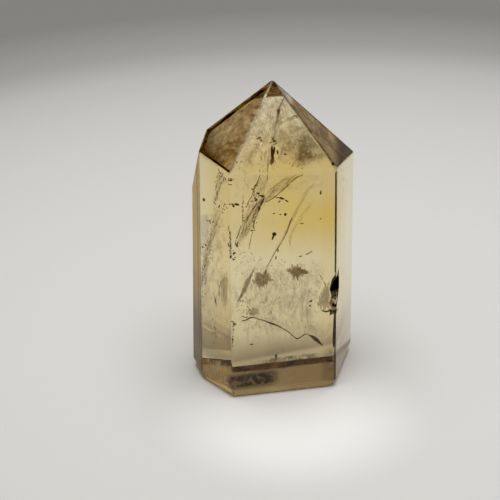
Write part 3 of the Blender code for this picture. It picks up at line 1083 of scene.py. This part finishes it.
class CITRINE_OT_cracks(bpy.types.Operator):
    """Open the fine cracks, and paint shade as dark lines just inside the front right edge"""

    bl_idname = "citrine.cracks"
    bl_label = "Cracks"

    # name: depth and reach into the stone in mm, line of (across, down, width as seen)
    CRACKS = {
        "curved": (2.0, 0.8, ((242, 321, 0.6), (246, 320, 0.9), (250, 317.8, 0.9), (254, 317.6, 0.8),
                              (258, 319, 0.6), (264, 320.6, 0.7), (270, 323, 1.5), (275, 324.6, 1.6),
                              (281, 327.5, 0.9), (288, 331.6, 0.7), (293, 336, 0.6), (297, 338.6, 1.1),
                              (301, 337, 0.8), (305, 334, 0.6), (308, 334.5, 0.4))),
        "thick": (1.6, 0.9, ((308.5, 334.8, 0.8), (312, 336.6, 2.2), (315, 338.6, 3.6),
                             (318, 341.2, 3.0), (321, 344, 1.4), (322.5, 345.6, 0.6))),
        "tip": (2.0, 1.2, ((284, 98, 0.7), (280, 106, 1.1), (278.6, 112, 1.6), (277, 119, 1.0),
                           (275, 128, 0.8))),
        "arc": (2.0, 1.2, ((284, 121.6, 0.6), (290, 118, 1.1), (295, 115.6, 1.0), (299, 115, 0.5))),
        "veil_line": (3.0, 1.5, ((260.2, 175, 0.5), (258.3, 180, 0.8), (256.5, 184, 1.1),
                                 (253.6, 190.5, 1.3), (252, 196, 0.8), (249, 201, 0.9),
                                 (246, 207.5, 0.8))),
        "stem": (4.0, 1.5, ((267.6, 175, 0.7), (267.4, 179, 0.6), (267.0, 184, 0.4))),
        "stem_top": (3.0, 1.0, ((268.2, 158, 0.5), (268.0, 164, 0.7), (267.8, 169, 0.6))),
        "main_low": (4.0, 1.5, ((262, 203, 0.9), (259.5, 208, 1.2), (257.5, 213, 0.9),
                                (255.6, 218, 1.1), (254, 223, 0.9), (253.5, 229, 0.6))),
        "main_mid": (2.5, 1.2, ((257, 203, 0.6), (253, 209, 0.8), (249.5, 214, 0.9), (247, 220, 1.0),
                                (246.5, 226, 0.8), (245, 232, 0.5))),
        "main_left": (1.5, 0.8, ((241, 226, 0.7), (238.5, 234, 0.8), (236, 240, 0.8),
                                 (235, 246, 0.5))),
        "main_lower": (1.8, 0.8, ((244, 229, 0.6), (240.5, 236, 0.9), (237.6, 243, 0.9),
                                  (236.5, 247, 0.6))),
        "sharp": (3.5, 2.0, ((303, 174.6, 0.5), (296, 178, 0.9), (286, 187, 0.9), (276, 196, 0.9),
                             (266, 202.4, 0.8))),
        "right_low": (6.0, 2.0, ((292, 218, 0.7), (289.6, 224, 1.0), (286, 234, 0.7), (280, 245, 0.6),
                                 (276, 251, 0.6), (271, 259.6, 0.6), (266, 268, 0.4))),
        "plate_line": (1.5, 1.2, ((320, 275, 0.4), (323, 281, 0.7), (326, 285.5, 0.7))),
        "plate_edge": (1.5, 1.5, ((321.5, 310.5, 0.9), (326, 311.6, 1.4), (331, 310, 1.8),
                                  (334.5, 308.6, 2.4))),
        "thread": (3.0, 1.0, ((243, 196, 0.3), (243.4, 206, 0.5), (242.6, 215, 0.4), (242, 226, 0.3))),
        "thin_low": (5.0, 1.0, ((252.6, 232, 0.3), (250.6, 240, 0.5), (249, 249, 0.4))),
        # painted shade: the next two are dark sheets just inside the front right edge, where it shows
        # dark
        "edge_shade_high": (0.3, 0.5, ((335.8, 172, 1.1), (335.7, 205, 1.3), (335.5, 240, 1.2),
                                   (335.2, 272, 1.0))),
        "edge_shade_low": (0.3, 0.8, ((334.8, 311, 1.6), (334.6, 322, 2.2), (334.2, 333, 2.8),
                                  (334.0, 341, 2.6), (333.8, 347, 1.6))),
        "left_arc": (1.5, 1.0, ((221.5, 280, 0.6), (219.3, 288, 0.9), (219, 296, 0.6))),
        "left_dash": (1.5, 1.0, ((213.5, 292, 0.8), (215, 299, 1.2), (216.6, 306, 0.7))),
    }

    # cracks that show as a full dark line, two of them painted shade along the front right edge, and the
    # least opacity of those and of the others
    OPEN = ("curved", "thick", "plate_edge", "edge_shade_high", "edge_shade_low")
    OPEN_LEAST = 0.70
    FINE_LEAST = 0.0
    ROWS = 40
    COLUMNS = 2
    RUFFLE = 0.1
    FIRST_SEED = 30

    def execute(self, context):
        inside = context.scene.citrine_inside
        sight = Sight(context.scene)
        wide, fine = [], []
        for number, (name, (depth, reach, line)) in enumerate(self.CRACKS.items()):
            piece = sheet(sight, self.banks(line, depth, reach), self.ROWS, self.COLUMNS,
                          self.RUFFLE, inside.sheet_thickness * 1.5, number + self.FIRST_SEED)
            group = wide if name in self.OPEN else fine
            group.append(piece)
        settle(join(wide), "cracks", self.material(inside, "crack_shade", self.OPEN_LEAST))
        settle(join(fine), "hair_cracks",
               self.material(inside, "hair_crack_shade", self.FINE_LEAST))
        return {"FINISHED"}

    def banks(self, line, depth, reach):
        """The near and far border of a crack whose width shows across its line."""
        near, far = [], []
        for k, (x, y, width) in enumerate(line):
            before, after = line[max(k - 1, 0)], line[min(k + 1, len(line) - 1)]
            run = Vector((after[0] - before[0], after[1] - before[1])).normalized()
            half = Vector((-run.y, run.x)) * width / 2
            near.append((x - half.x, y - half.y, depth))
            far.append((x + half.x, y + half.y, depth + reach))
        return near, far

    def material(self, inside, name, least):
        """Dark crack surface, broken by gaps down to the least opacity."""
        recipe = Recipe(name)
        gaps = recipe.grain(recipe.place(), 900.0, detail=3.0)
        rust = tuple(channel * 5.0 for channel in inside.speck)
        colour = recipe.blend(gaps, tuple(inside.speck), rust)
        alpha = least + (0.95 - least) * recipe.step(gaps, 0.38, 0.60)
        return recipe.mineral(colour, alpha)


# ---------------------------------------------------------------- cleft lining

class CITRINE_OT_cleft(bpy.types.Operator):
    """Line the broken cleft at the front corner in dark, with painted glints low in it"""

    bl_idname = "citrine.cleft"
    bl_label = "Cleft lining"

    # box round the cleft, and the normals of the two whole faces that reach into it
    LOW = Vector((8.0, -13.0, 18.7)) * MM
    HIGH = Vector((14.0, -8.0, 30.0)) * MM
    WHOLE = (Vector((0.0, -1.0, 0.0)), Vector((0.91, -0.42, 0.01)).normalized())
    ALONG_NORMAL = 0.999
    # way from the cleft's surface into the stone, in mm
    INWARDS = Vector((-0.75, 0.65, 0.0))
    OFFSET = 0.16
    # heights in mm between which the pale grains, painted glints, end
    PALE_TOP = (22.6, 23.6)

    def execute(self, context):
        inside = context.scene.citrine_inside
        piece = stone_copy("cleft_lining")
        keep_faces(piece, lambda face: self.broken(piece.data, face))
        thicken(piece, inside.sheet_thickness * 2)
        for vertex in piece.data.vertices:
            vertex.co = vertex.co + self.INWARDS * self.OFFSET * MM
        settle(piece, "cleft_lining", self.material(inside))
        return {"FINISHED"}

    def broken(self, mesh, face):
        """Whether a face is one of the cleft's own."""
        corners = [mesh.vertices[k].co for k in face.vertices]
        boxed = all(self.LOW[a] < c[a] < self.HIGH[a] for c in corners for a in range(3))
        return boxed and max(face.normal.dot(whole) for whole in self.WHOLE) <= self.ALONG_NORMAL

    def material(self, inside):
        """Dark lining with pale grains low in the cleft, which are painted glints."""
        recipe = Recipe("cleft_lining")
        place = recipe.place()
        grain = recipe.grain(place, 1400.0, detail=3.0, rough=0.7)
        low = 1.0 - recipe.step(recipe.coordinate(place, 2), *self.PALE_TOP)
        # painted highlight: pale grains low in the cleft
        pale = recipe.step(grain, 0.42, 0.6) * low
        return recipe.mineral(recipe.blend(pale, tuple(inside.speck), tuple(inside.fleck_pale)))


# ---------------------------------------------------------------- clouds and flecks

def crackle_material(name, cover, stretch, light, dark):
    """Cloud of tiny cracks: fine strokes along the sheet in smudges, clear in between."""
    recipe = Recipe(name)
    along = recipe.place((1.0, 1.0 / stretch, 1.0), "UV")
    flat = recipe.place(source="UV")
    smudge = recipe.grain(flat, 3.0, detail=3.0, rough=0.6, twist=1.0)
    curtain = recipe.grain(along, 9.0, rough=0.65, twist=0.6)
    strokes = recipe.grain(along, 30.0, rough=0.75, twist=1.6)
    crumbs = recipe.grain(flat, 60.0, detail=3.0, rough=0.7, twist=1.0)
    colour = recipe.blend(recipe.step(strokes, 0.38, 0.6), tuple(dark), tuple(light))
    dense = recipe.step(smudge * 0.5 + curtain * 0.5, 0.44, 0.60)
    drawn = recipe.step(strokes * 0.5 + curtain * 0.25 + crumbs * 0.25, 0.51, 0.58)
    edge = recipe.step(recipe.rim() + (smudge - 0.5) * 1.2, 0.1, 0.9)
    return recipe.mineral(colour, cover * (0.35 * dense + 0.65 * drawn) * edge)


class CITRINE_OT_clouds(bpy.types.Operator):
    """Hang the clouds of tiny cracks"""

    bl_idname = "citrine.clouds"
    bl_label = "Clouds"

    # light and dark colour of each kind of cloud
    KINDS = {
        "crackle": ((0.80, 0.60, 0.34), (0.26, 0.14, 0.05)),
        "milk": ((0.95, 0.78, 0.54), (0.42, 0.26, 0.12)),
        "brown": ((0.16, 0.09, 0.035), (0.06, 0.03, 0.01)),
        "beige": ((1.0, 0.92, 0.62), (0.66, 0.50, 0.26)),
    }
    # name: kind, opacity, stretch of the strokes, border lines of (across, down, depth)
    CLOUDS = {
        "tip": ("crackle", 0.50, 4.0, (
            ((267, 97, 1.0), (259, 115, 1.2), (251, 135, 1.2), (243, 155, 1.2), (238, 168, 1.2)),
            ((276, 96, 2), (277, 115, 2.0), (277, 135, 2.0), (276, 155, 2), (274, 168, 2)),
            ((284, 97, 1.0), (295, 115, 1.2), (306, 133, 1.2), (318, 150, 1.2), (326, 166, 1.2)))),
        "brow": ("crackle", 0.12, 2.0, (
            ((237, 175, 1.0), (237, 181, 1.0), (237, 187, 1.0), (238, 194, 1.0)),
            ((270, 175, 2.5), (270, 180, 2.5), (268, 186, 2.5), (266, 194, 2.5)),
            ((331, 174, 1.5), (331, 178, 1.5), (331, 182, 1.5), (331, 188, 1.5)))),
        "lower": ("milk", 0.20, 3.0, (
            ((236, 256, 2), (235, 275, 2), (235, 295, 2), (236, 315, 2), (240, 330, 2)),
            ((262, 264, 4), (262, 278, 4), (261, 295, 4), (260, 315, 4), (262, 333, 4)),
            ((296, 262, 3), (297, 275, 3), (297, 295, 3), (297, 315, 3), (297, 337, 3)),
            ((328, 258, 2), (326, 275, 2), (322, 300, 2), (324, 320, 2), (330, 340, 2)))),
        "lower_deep": ("crackle", 0.10, 5.0, (
            ((238, 256, 9), (236, 280, 9), (236, 300, 9), (240, 330, 9)),
            ((282, 264, 12), (280, 285, 12), (279, 310, 12), (280, 336, 12)),
            ((326, 258, 9), (324, 285, 9), (324, 310, 9), (326, 338, 9)))),
        "strokes": ("brown", 0.20, 5.0, (
            ((238, 262, 2.4), (237, 280, 2.4), (237, 300, 2.4), (239, 318, 2.4)),
            ((268, 266, 3.4), (268, 285, 3.4), (268, 305, 3.4), (268, 325, 3.4)),
            ((298, 268, 3.4), (298, 285, 3.4), (298, 305, 3.4), (298, 330, 3.4)),
            ((322, 268, 2.4), (318, 290, 2.4), (316, 312, 2.4), (320, 334, 2.4)))),
        "left": ("crackle", 0.36, 4.0, (
            ((205, 206, 1.2), (203, 240, 1.2), (202, 280, 1.2), (203, 318, 1.2)),
            ((213, 206, 2.0), (212, 240, 2.0), (211, 280, 2.0), (212, 322, 2.0)),
            ((225, 206, 1.2), (226, 240, 1.2), (226, 280, 1.2), (225, 318, 1.2)))),
        "left_base": ("beige", 0.85, 3.0, (
            ((203, 356, 0.8), (203.5, 364, 0.8), (204, 369, 0.8), (205, 373, 0.8)),
            ((216, 360, 1.2), (216, 369, 1.2), (216, 376, 1.2), (216, 381, 1.2)),
            ((228, 361, 0.8), (228.5, 371, 0.8), (229, 380, 0.8), (229.5, 388, 0.8)))),
        # painted shade: the next sheet is a dark brown band along the front of the foot
        "base": ("brown", 0.85, 1.0, (
            ((250, 361, 1.0), (250, 364, 1.0), (250, 368, 1.0), (250, 373, 1.0)),
            ((286, 356, 1.0), (286, 360, 1.0), (286, 364, 1.0), (286, 369, 1.0)),
            ((322, 352, 1.0), (322, 355, 1.0), (322, 358, 1.0), (322, 363, 1.0)))),
        "west": ("crackle", 0.46, 1.3, (
            ((224, 119, 0.3), (214, 129, 0.3), (207, 139, 0.3), (204, 148, 0.3)),
            ((243, 106, 0.3), (232, 122, 0.3), (222, 140, 0.3), (214, 156, 0.3)),
            ((257, 99, 0.3), (249, 118, 0.3), (239, 142, 0.3), (228, 165, 0.3)))),
        "east": ("crackle", 0.34, 1.3, (
            ((289, 102, 0.3), (303, 120, 0.3), (320, 143, 0.3), (334, 162, 0.3)),
            ((291, 101, 0.3), (308, 119, 0.3), (325, 139, 0.3), (340, 156, 0.3)),
            ((293, 100, 0.3), (312, 118, 0.3), (330, 136, 0.3), (344, 150, 0.3)))),
    }
    ROWS = 40
    COLUMNS = 24
    # height of a sheet's waves as a share of its depth
    RUFFLE = 0.2
    FIRST_SEED = 60

    def execute(self, context):
        inside = context.scene.citrine_inside
        sight = Sight(context.scene)
        for number, (name, (kind, cover, stretch, rails)) in enumerate(self.CLOUDS.items()):
            depth = rails[0][0][2]
            piece = sheet(sight, rails, self.ROWS, self.COLUMNS, self.RUFFLE * depth,
                          inside.sheet_thickness, number + self.FIRST_SEED)
            settle(piece, "cloud_" + name,
                   crackle_material("cloud_" + name, cover, stretch, *self.KINDS[kind]))
        return {"FINISHED"}


class CITRINE_OT_flecks(bpy.types.Operator):
    """Strew tiny bright and dark blades where the stone is crackled"""

    bl_idname = "citrine.flecks"
    bl_label = "Flecks"

    # bright count, dark count, longest blade in mm, how clumped they are, border lines
    FIELDS = (
        (420, 240, 1.7, 0.0, (
            ((267, 97, 0.8), (257, 118, 0.8), (248, 140, 0.8), (241, 158, 0.8), (236, 172, 0.8)),
            ((285, 97, 3), (290, 115, 3), (292, 133, 3), (292, 150, 3), (290, 168, 3)))),
        (130, 90, 1.4, 0.05, (
            ((292, 118, 1), (296, 130, 1), (298, 145, 1), (298, 160, 1)),
            ((302, 122, 3), (312, 134, 3), (322, 147, 3), (330, 160, 3)))),
        (90, 140, 1.2, 0.0, (
            ((294, 175, 3), (285, 179, 3), (276, 184, 3.5), (266, 194, 4), (256, 208, 5),
             (247, 226, 5)),
            ((304, 175, 5), (296, 179, 5), (285, 188, 6), (270, 199, 6), (262, 210, 7),
             (252, 230, 7)))),
        (40, 70, 1.1, 0.0, (
            ((260, 175, 3), (254, 190, 3.5), (246, 208, 4.5), (238, 228, 5), (233, 246, 5)),
            ((268, 175, 6), (264, 190, 6), (258, 210, 7), (250, 232, 7), (240, 250, 7)))),
        (20, 70, 1.0, 0.0, (
            ((312, 184, 4), (299, 202, 5), (291, 216, 5), (284, 234, 7), (276, 248, 8)),
            ((316, 184, 7), (305, 202, 7), (296, 216, 8), (287, 234, 8), (279, 250, 9)))),
        (520, 170, 1.5, 0.03, (
            ((236, 250, 2), (235, 270, 2), (235, 290, 2), (236, 310, 2), (239, 330, 2)),
            ((283, 258, 5), (282, 275, 5), (281, 295, 5), (280, 312, 5), (280, 330, 5)))),
        (360, 90, 1.4, 0.08, (
            ((280, 258, 3), (280, 278, 3), (279, 298, 3), (279, 318, 3), (282, 333, 3)),
            ((326, 258, 6), (322, 278, 6), (318, 298, 6), (318, 318, 6), (324, 338, 6)))),
        (110, 120, 1.1, 0.0, (
            ((218, 171, 1), (216, 184, 1), (213, 198, 1), (211, 212, 1)),
            ((226, 173, 2.5), (225, 184, 2.5), (224, 198, 2.5), (222, 212, 2.5)))),
        (70, 90, 0.9, 0.05, (
            ((234, 174, 1), (234, 184, 1), (235, 196, 1)),
            ((246, 170, 3), (248, 184, 3), (245, 196, 3)))),
        (30, 150, 0.9, 0.0, (
            ((208, 214, 1.2), (204, 232, 1.2), (200, 255, 1.2), (200, 285, 1.2)),
            ((217, 220, 3), (212, 240, 3), (209, 260, 3), (207, 285, 3)))),
        (110, 30, 1.0, 0.1, (
            ((208, 305, 1), (209, 314, 1), (212, 324, 1)),
            ((224, 300, 1), (224, 312, 1), (222, 322, 1)))),
        (40, 110, 0.9, 0.0, (
            ((270, 350, 1.5), (271, 358, 1.5), (273, 368, 1.5)),
            ((284, 347, 1.5), (284, 357, 1.5), (282, 367, 1.5)))),
        (40, 50, 1.2, 0.1, (
            ((240, 368, 1.0), (244, 378, 1.0), (240, 387, 1.0)),
            ((300, 362, 1.0), (298, 372, 1.0), (290, 382, 1.0)))),
    )
    FIRST_SEED = 11
    ROWS = 24
    # half thickness of a blade in mm, its width as a share of its length, how much shorter the
    # dark ones are, and how much shorter than the longest the shortest is
    THICKNESS = 0.012
    WIDTHS = (0.04, 0.15)
    DARK_LENGTH = 0.8
    SHORTEST = 0.2
    # clumps per mm and how freely blades stray from them, and how far a blade turns and tilts
    CLUMPS = 0.9
    STRAY = 0.25
    TURN = 0.7
    TILT = 0.8
    # the far end and the far side of a blade, next to 1 for the near ones
    FAR_END = 0.8
    FAR_SIDE = 0.7
    # the eight triangles of a blade: corners 0 and 1 are its ends, 2 and 3 its sides, 4 and 5 its
    # front and back
    PATTERN = ((0, 2, 4), (2, 1, 4), (1, 3, 4), (3, 0, 4),
               (2, 0, 5), (1, 2, 5), (3, 1, 5), (0, 3, 5))

    def execute(self, context):
        inside = context.scene.citrine_inside
        sight = Sight(context.scene)
        bright, dark = [], []
        for number, (light_count, dark_count, longest, clump, rails) in enumerate(self.FIELDS):
            rng = np.random.default_rng(number + self.FIRST_SEED)
            bright.append(self.blades(sight, rails, light_count, longest, clump, rng))
            dark.append(self.blades(sight, rails, dark_count, longest * self.DARK_LENGTH, clump,
                                    rng))
        self.strew("flecks_bright", bright, inside.fleck_bright, inside.fleck_pale, silver=1.0)
        self.strew("flecks_dark", dark, inside.fleck_brown, inside.fleck_dark, silver=0.0)
        return {"FINISHED"}

    def blades(self, sight, rails, count, longest, clump, rng):
        """Corner places of count blades, each of six corners."""
        rows = self.ROWS
        lines = np.array([[tuple(sight.inside(*spot)) for spot in resample(rail, rows + 1)]
                          for rail in rails])
        back = np.array(sight.back)
        corners = []
        while len(corners) < count:
            u, v = rng.random(2)
            row = min(int(v * rows), rows - 1)
            near = lines[0, row] + (lines[0, row + 1] - lines[0, row]) * (v * rows - row)
            far = lines[-1, row] + (lines[-1, row + 1] - lines[-1, row]) * (v * rows - row)
            place = near + (far - near) * u
            if noise.noise(Vector(place / MM * self.CLUMPS)) < clump + self.STRAY * rng.normal():
                continue
            run = lines[0, row + 1] - lines[0, row]
            run = run - back * run.dot(back)
            run = run / np.linalg.norm(run)
            turn = rng.normal() * self.TURN
            run = run * math.cos(turn) + np.cross(back, run) * math.sin(turn)
            tilt = rng.normal() * self.TILT
            side = np.cross(back, run)
            side = side * math.cos(tilt) + back * math.sin(tilt)
            face = np.cross(run, side)
            share = self.SHORTEST + (1.0 - self.SHORTEST) * rng.random() ** 2
            length = longest * share * MM / 2
            width = length * rng.uniform(*self.WIDTHS)
            lift = self.THICKNESS * MM
            corners.append([place + run * length, place - run * length * self.FAR_END,
                            place + side * width, place - side * width * self.FAR_SIDE,
                            place + face * lift, place - face * lift])
        return np.array(corners)

    def strew(self, name, fields, light, dark, silver):
        """One piece of all the blades of the fields."""
        corners = np.concatenate(fields)
        blades = np.arange(len(corners))[:, None, None]
        faces = (blades * corners.shape[1] + np.array(self.PATTERN)).reshape(-1, 3)
        mesh = bpy.data.meshes.new(name)
        mesh.from_pydata(corners.reshape(-1, 3).tolist(), [], faces.tolist())
        piece = bpy.data.objects.new(name, mesh)
        bpy.context.scene.collection.objects.link(piece)
        recipe = Recipe(name)
        share = recipe.step(recipe.grain(recipe.place(), 1500.0, detail=2.0), 0.35, 0.65)
        colour = recipe.blend(share, tuple(dark), tuple(light))
        settle(piece, name, recipe.mineral(colour, rough=0.3, silver=silver))


# ---------------------------------------------------------------- stage

class CITRINE_OT_stage(bpy.types.Operator):
    """Set the table, the light and the camera"""

    bl_idname = "citrine.stage"
    bl_label = "Stage"

    # height of the look direction, colour of the room there
    ROOM = (
        (0.0, (0.62, 0.62, 0.60)), (0.20, (0.60, 0.60, 0.58)), (0.36, (0.30, 0.24, 0.165)),
        (0.80, (0.28, 0.225, 0.16)), (0.90, (1.0, 0.96, 0.88)))
    BLACK_LEVEL = (0.020, 0.020, 0.020)
    BOUNCES = 40
    CLEAR_BOUNCES = 64

    # the table's top lies this far under the crystal
    FLOOR_DROP = 0.1 * MM
    FLOOR_CORNERS = 96
    # painted light: a bright patch in front of the crystal, where light through the stone falls: centre,
    # the reach of its full and of its fading part, all in mm, and its colour
    PAINTED_GLOW_CENTRE = Vector((-2.0, -24.0, 0.0)) * MM
    PAINTED_GLOW_BORDER = (10.0, 34.0)
    PAINTED_GLOW = (0.93, 0.96, 1.0)
    # painted light: the table is painted darker outwards, as a lamp's pool fades: centre, reach in
    # metres, shares of the reach and brightness there
    POOL_CENTRE = Vector((20.0, 20.0, 0.0)) * MM
    POOL_REACH = 0.25
    POOL = ((0.0, 1.0), (0.24, 1.0), (0.40, 0.95), (0.50, 0.90), (0.60, 0.82), (0.68, 0.72),
            (0.76, 0.51), (0.90, 0.34))
    FIBRE = 0.03
    BLACK = (0.0, 0.0, 0.0)

    LAMP_PLACE = (0.0, -0.1, 1.2)
    NEAREST_SEEN = 0.01

    def execute(self, context):
        stage = context.scene.citrine_stage
        self.floor(stage)
        self.world(context.scene)
        self.lamp(context.scene, stage)
        self.camera(context.scene, stage)
        self.view(context.scene.view_settings)
        context.scene.cycles.max_bounces = self.BOUNCES
        context.scene.cycles.transmission_bounces = self.BOUNCES
        context.scene.cycles.transparent_max_bounces = self.CLEAR_BOUNCES
        return {"FINISHED"}

    def floor(self, stage):
        bpy.ops.object.select_all(action="DESELECT")
        bpy.ops.mesh.primitive_circle_add(
            vertices=self.FLOOR_CORNERS, radius=stage.floor_radius, fill_type="NGON",
            location=(0.0, 0.0, -self.FLOOR_DROP))
        floor = bpy.context.object
        floor.name = "floor"
        floor.data.materials.append(self.paper(stage))

    def paper(self, stage):
        """Pale paper with painted light: bright round the crystal, darker outwards, and a bright patch
        in front.
        """
        recipe = Recipe("floor_paper")
        here = recipe.place()
        away = recipe.vector("DISTANCE", here, tuple(self.POOL_CENTRE), output="Value")
        # painted light: the fading pool of the lamp
        pool = recipe.node("ShaderNodeValToRGB", {"stops": self.POOL}, away / self.POOL_REACH)
        colour = recipe.blend(1.0, tuple(stage.floor_colour), pool, "MULTIPLY")
        # painted light: the table is painted brighter in front of the crystal
        near = recipe.vector("DISTANCE", here, tuple(self.PAINTED_GLOW_CENTRE), output="Value")
        painted_glow = 1.0 - recipe.step(near / MM, *self.PAINTED_GLOW_BORDER)
        colour = recipe.blend(painted_glow, colour, self.PAINTED_GLOW)
        fibre = recipe.grain(here, 900.0, detail=3.0)
        colour = recipe.blend(self.FIBRE * fibre, colour, self.BLACK)
        paper = recipe.node("ShaderNodeBsdfPrincipled", {}, Base_Color=colour, Roughness=0.7)
        return recipe.finish(paper)

    def world(self, scene):
        """The room, whose colour changes with the height of the look."""
        recipe = Recipe("studio", "World")
        look = recipe.place(source="Generated")
        height = recipe.node("ShaderNodeSeparateXYZ", {}, look, output="Z")
        colour = recipe.node("ShaderNodeValToRGB", {"stops": self.ROOM}, height)
        scene.world = recipe.finish(recipe.node("ShaderNodeBackground", {}, colour))

    def lamp(self, scene, stage):
        """A wide soft lamp overhead, which doesn't show through the stone."""
        lamp = bpy.data.lights.new("overhead", "AREA")
        lamp.shape = "RECTANGLE"
        lamp.size = stage.lamp_size
        lamp.size_y = stage.lamp_size
        lamp.energy = stage.lamp_power
        holder = bpy.data.objects.new("overhead", lamp)
        holder.location = self.LAMP_PLACE
        holder.visible_transmission = False
        scene.collection.objects.link(holder)

    def view(self, settings):
        settings.view_transform = "Standard"
        settings.use_curve_mapping = True
        settings.curve_mapping.black_level = self.BLACK_LEVEL
        settings.curve_mapping.update()

    def camera(self, scene, stage):
        right, up, back, position, unit = camera_axes(stage)
        data = bpy.data.cameras.new("camera")
        data.lens = stage.lens
        data.sensor_width = SENSOR
        data.clip_start = self.NEAREST_SEEN
        camera = bpy.data.objects.new("camera", data)
        axes = Matrix((right, up, back)).transposed()
        camera.matrix_world = Matrix.Translation(position) @ axes.to_4x4()
        scene.collection.objects.link(camera)
        scene.camera = camera


# ---------------------------------------------------------------- panel and registration

class CITRINE_PT_panel(bpy.types.Panel):
    """Lists the pieces of the crystal"""

    bl_idname = "CITRINE_PT_panel"
    bl_label = "Citrine Point"
    bl_space_type = "VIEW_3D"
    bl_region_type = "UI"
    bl_category = "Citrine"

    def draw(self, context):
        for operator in PIECES:
            self.layout.operator(operator.bl_idname)


PIECES = (CITRINE_OT_stone, CITRINE_OT_haze, CITRINE_OT_veils, CITRINE_OT_specks,
          CITRINE_OT_flakes, CITRINE_OT_cracks, CITRINE_OT_cleft, CITRINE_OT_clouds,
          CITRINE_OT_flecks, CITRINE_OT_stage)
SETTINGS = {
    "citrine_glass": CitrineGlass,
    "citrine_inside": CitrineInside,
    "citrine_stage": CitrineStage,
}


def register():
    for each in (*SETTINGS.values(), *PIECES, CITRINE_PT_panel):
        bpy.utils.register_class(each)
    for name, group in SETTINGS.items():
        setattr(bpy.types.Scene, name, bpy.props.PointerProperty(type=group))


def unregister():
    for name in SETTINGS:
        delattr(bpy.types.Scene, name)
    for each in reversed((*SETTINGS.values(), *PIECES, CITRINE_PT_panel)):
        bpy.utils.unregister_class(each)


def main():
    register()
    bpy.ops.citrine.stone()
    bpy.ops.citrine.haze()
    bpy.ops.citrine.veils()
    bpy.ops.citrine.specks()
    bpy.ops.citrine.flakes()
    bpy.ops.citrine.cracks()
    bpy.ops.citrine.cleft()
    bpy.ops.citrine.clouds()
    bpy.ops.citrine.flecks()
    bpy.ops.citrine.stage()


if __name__ == "__main__":
    main()
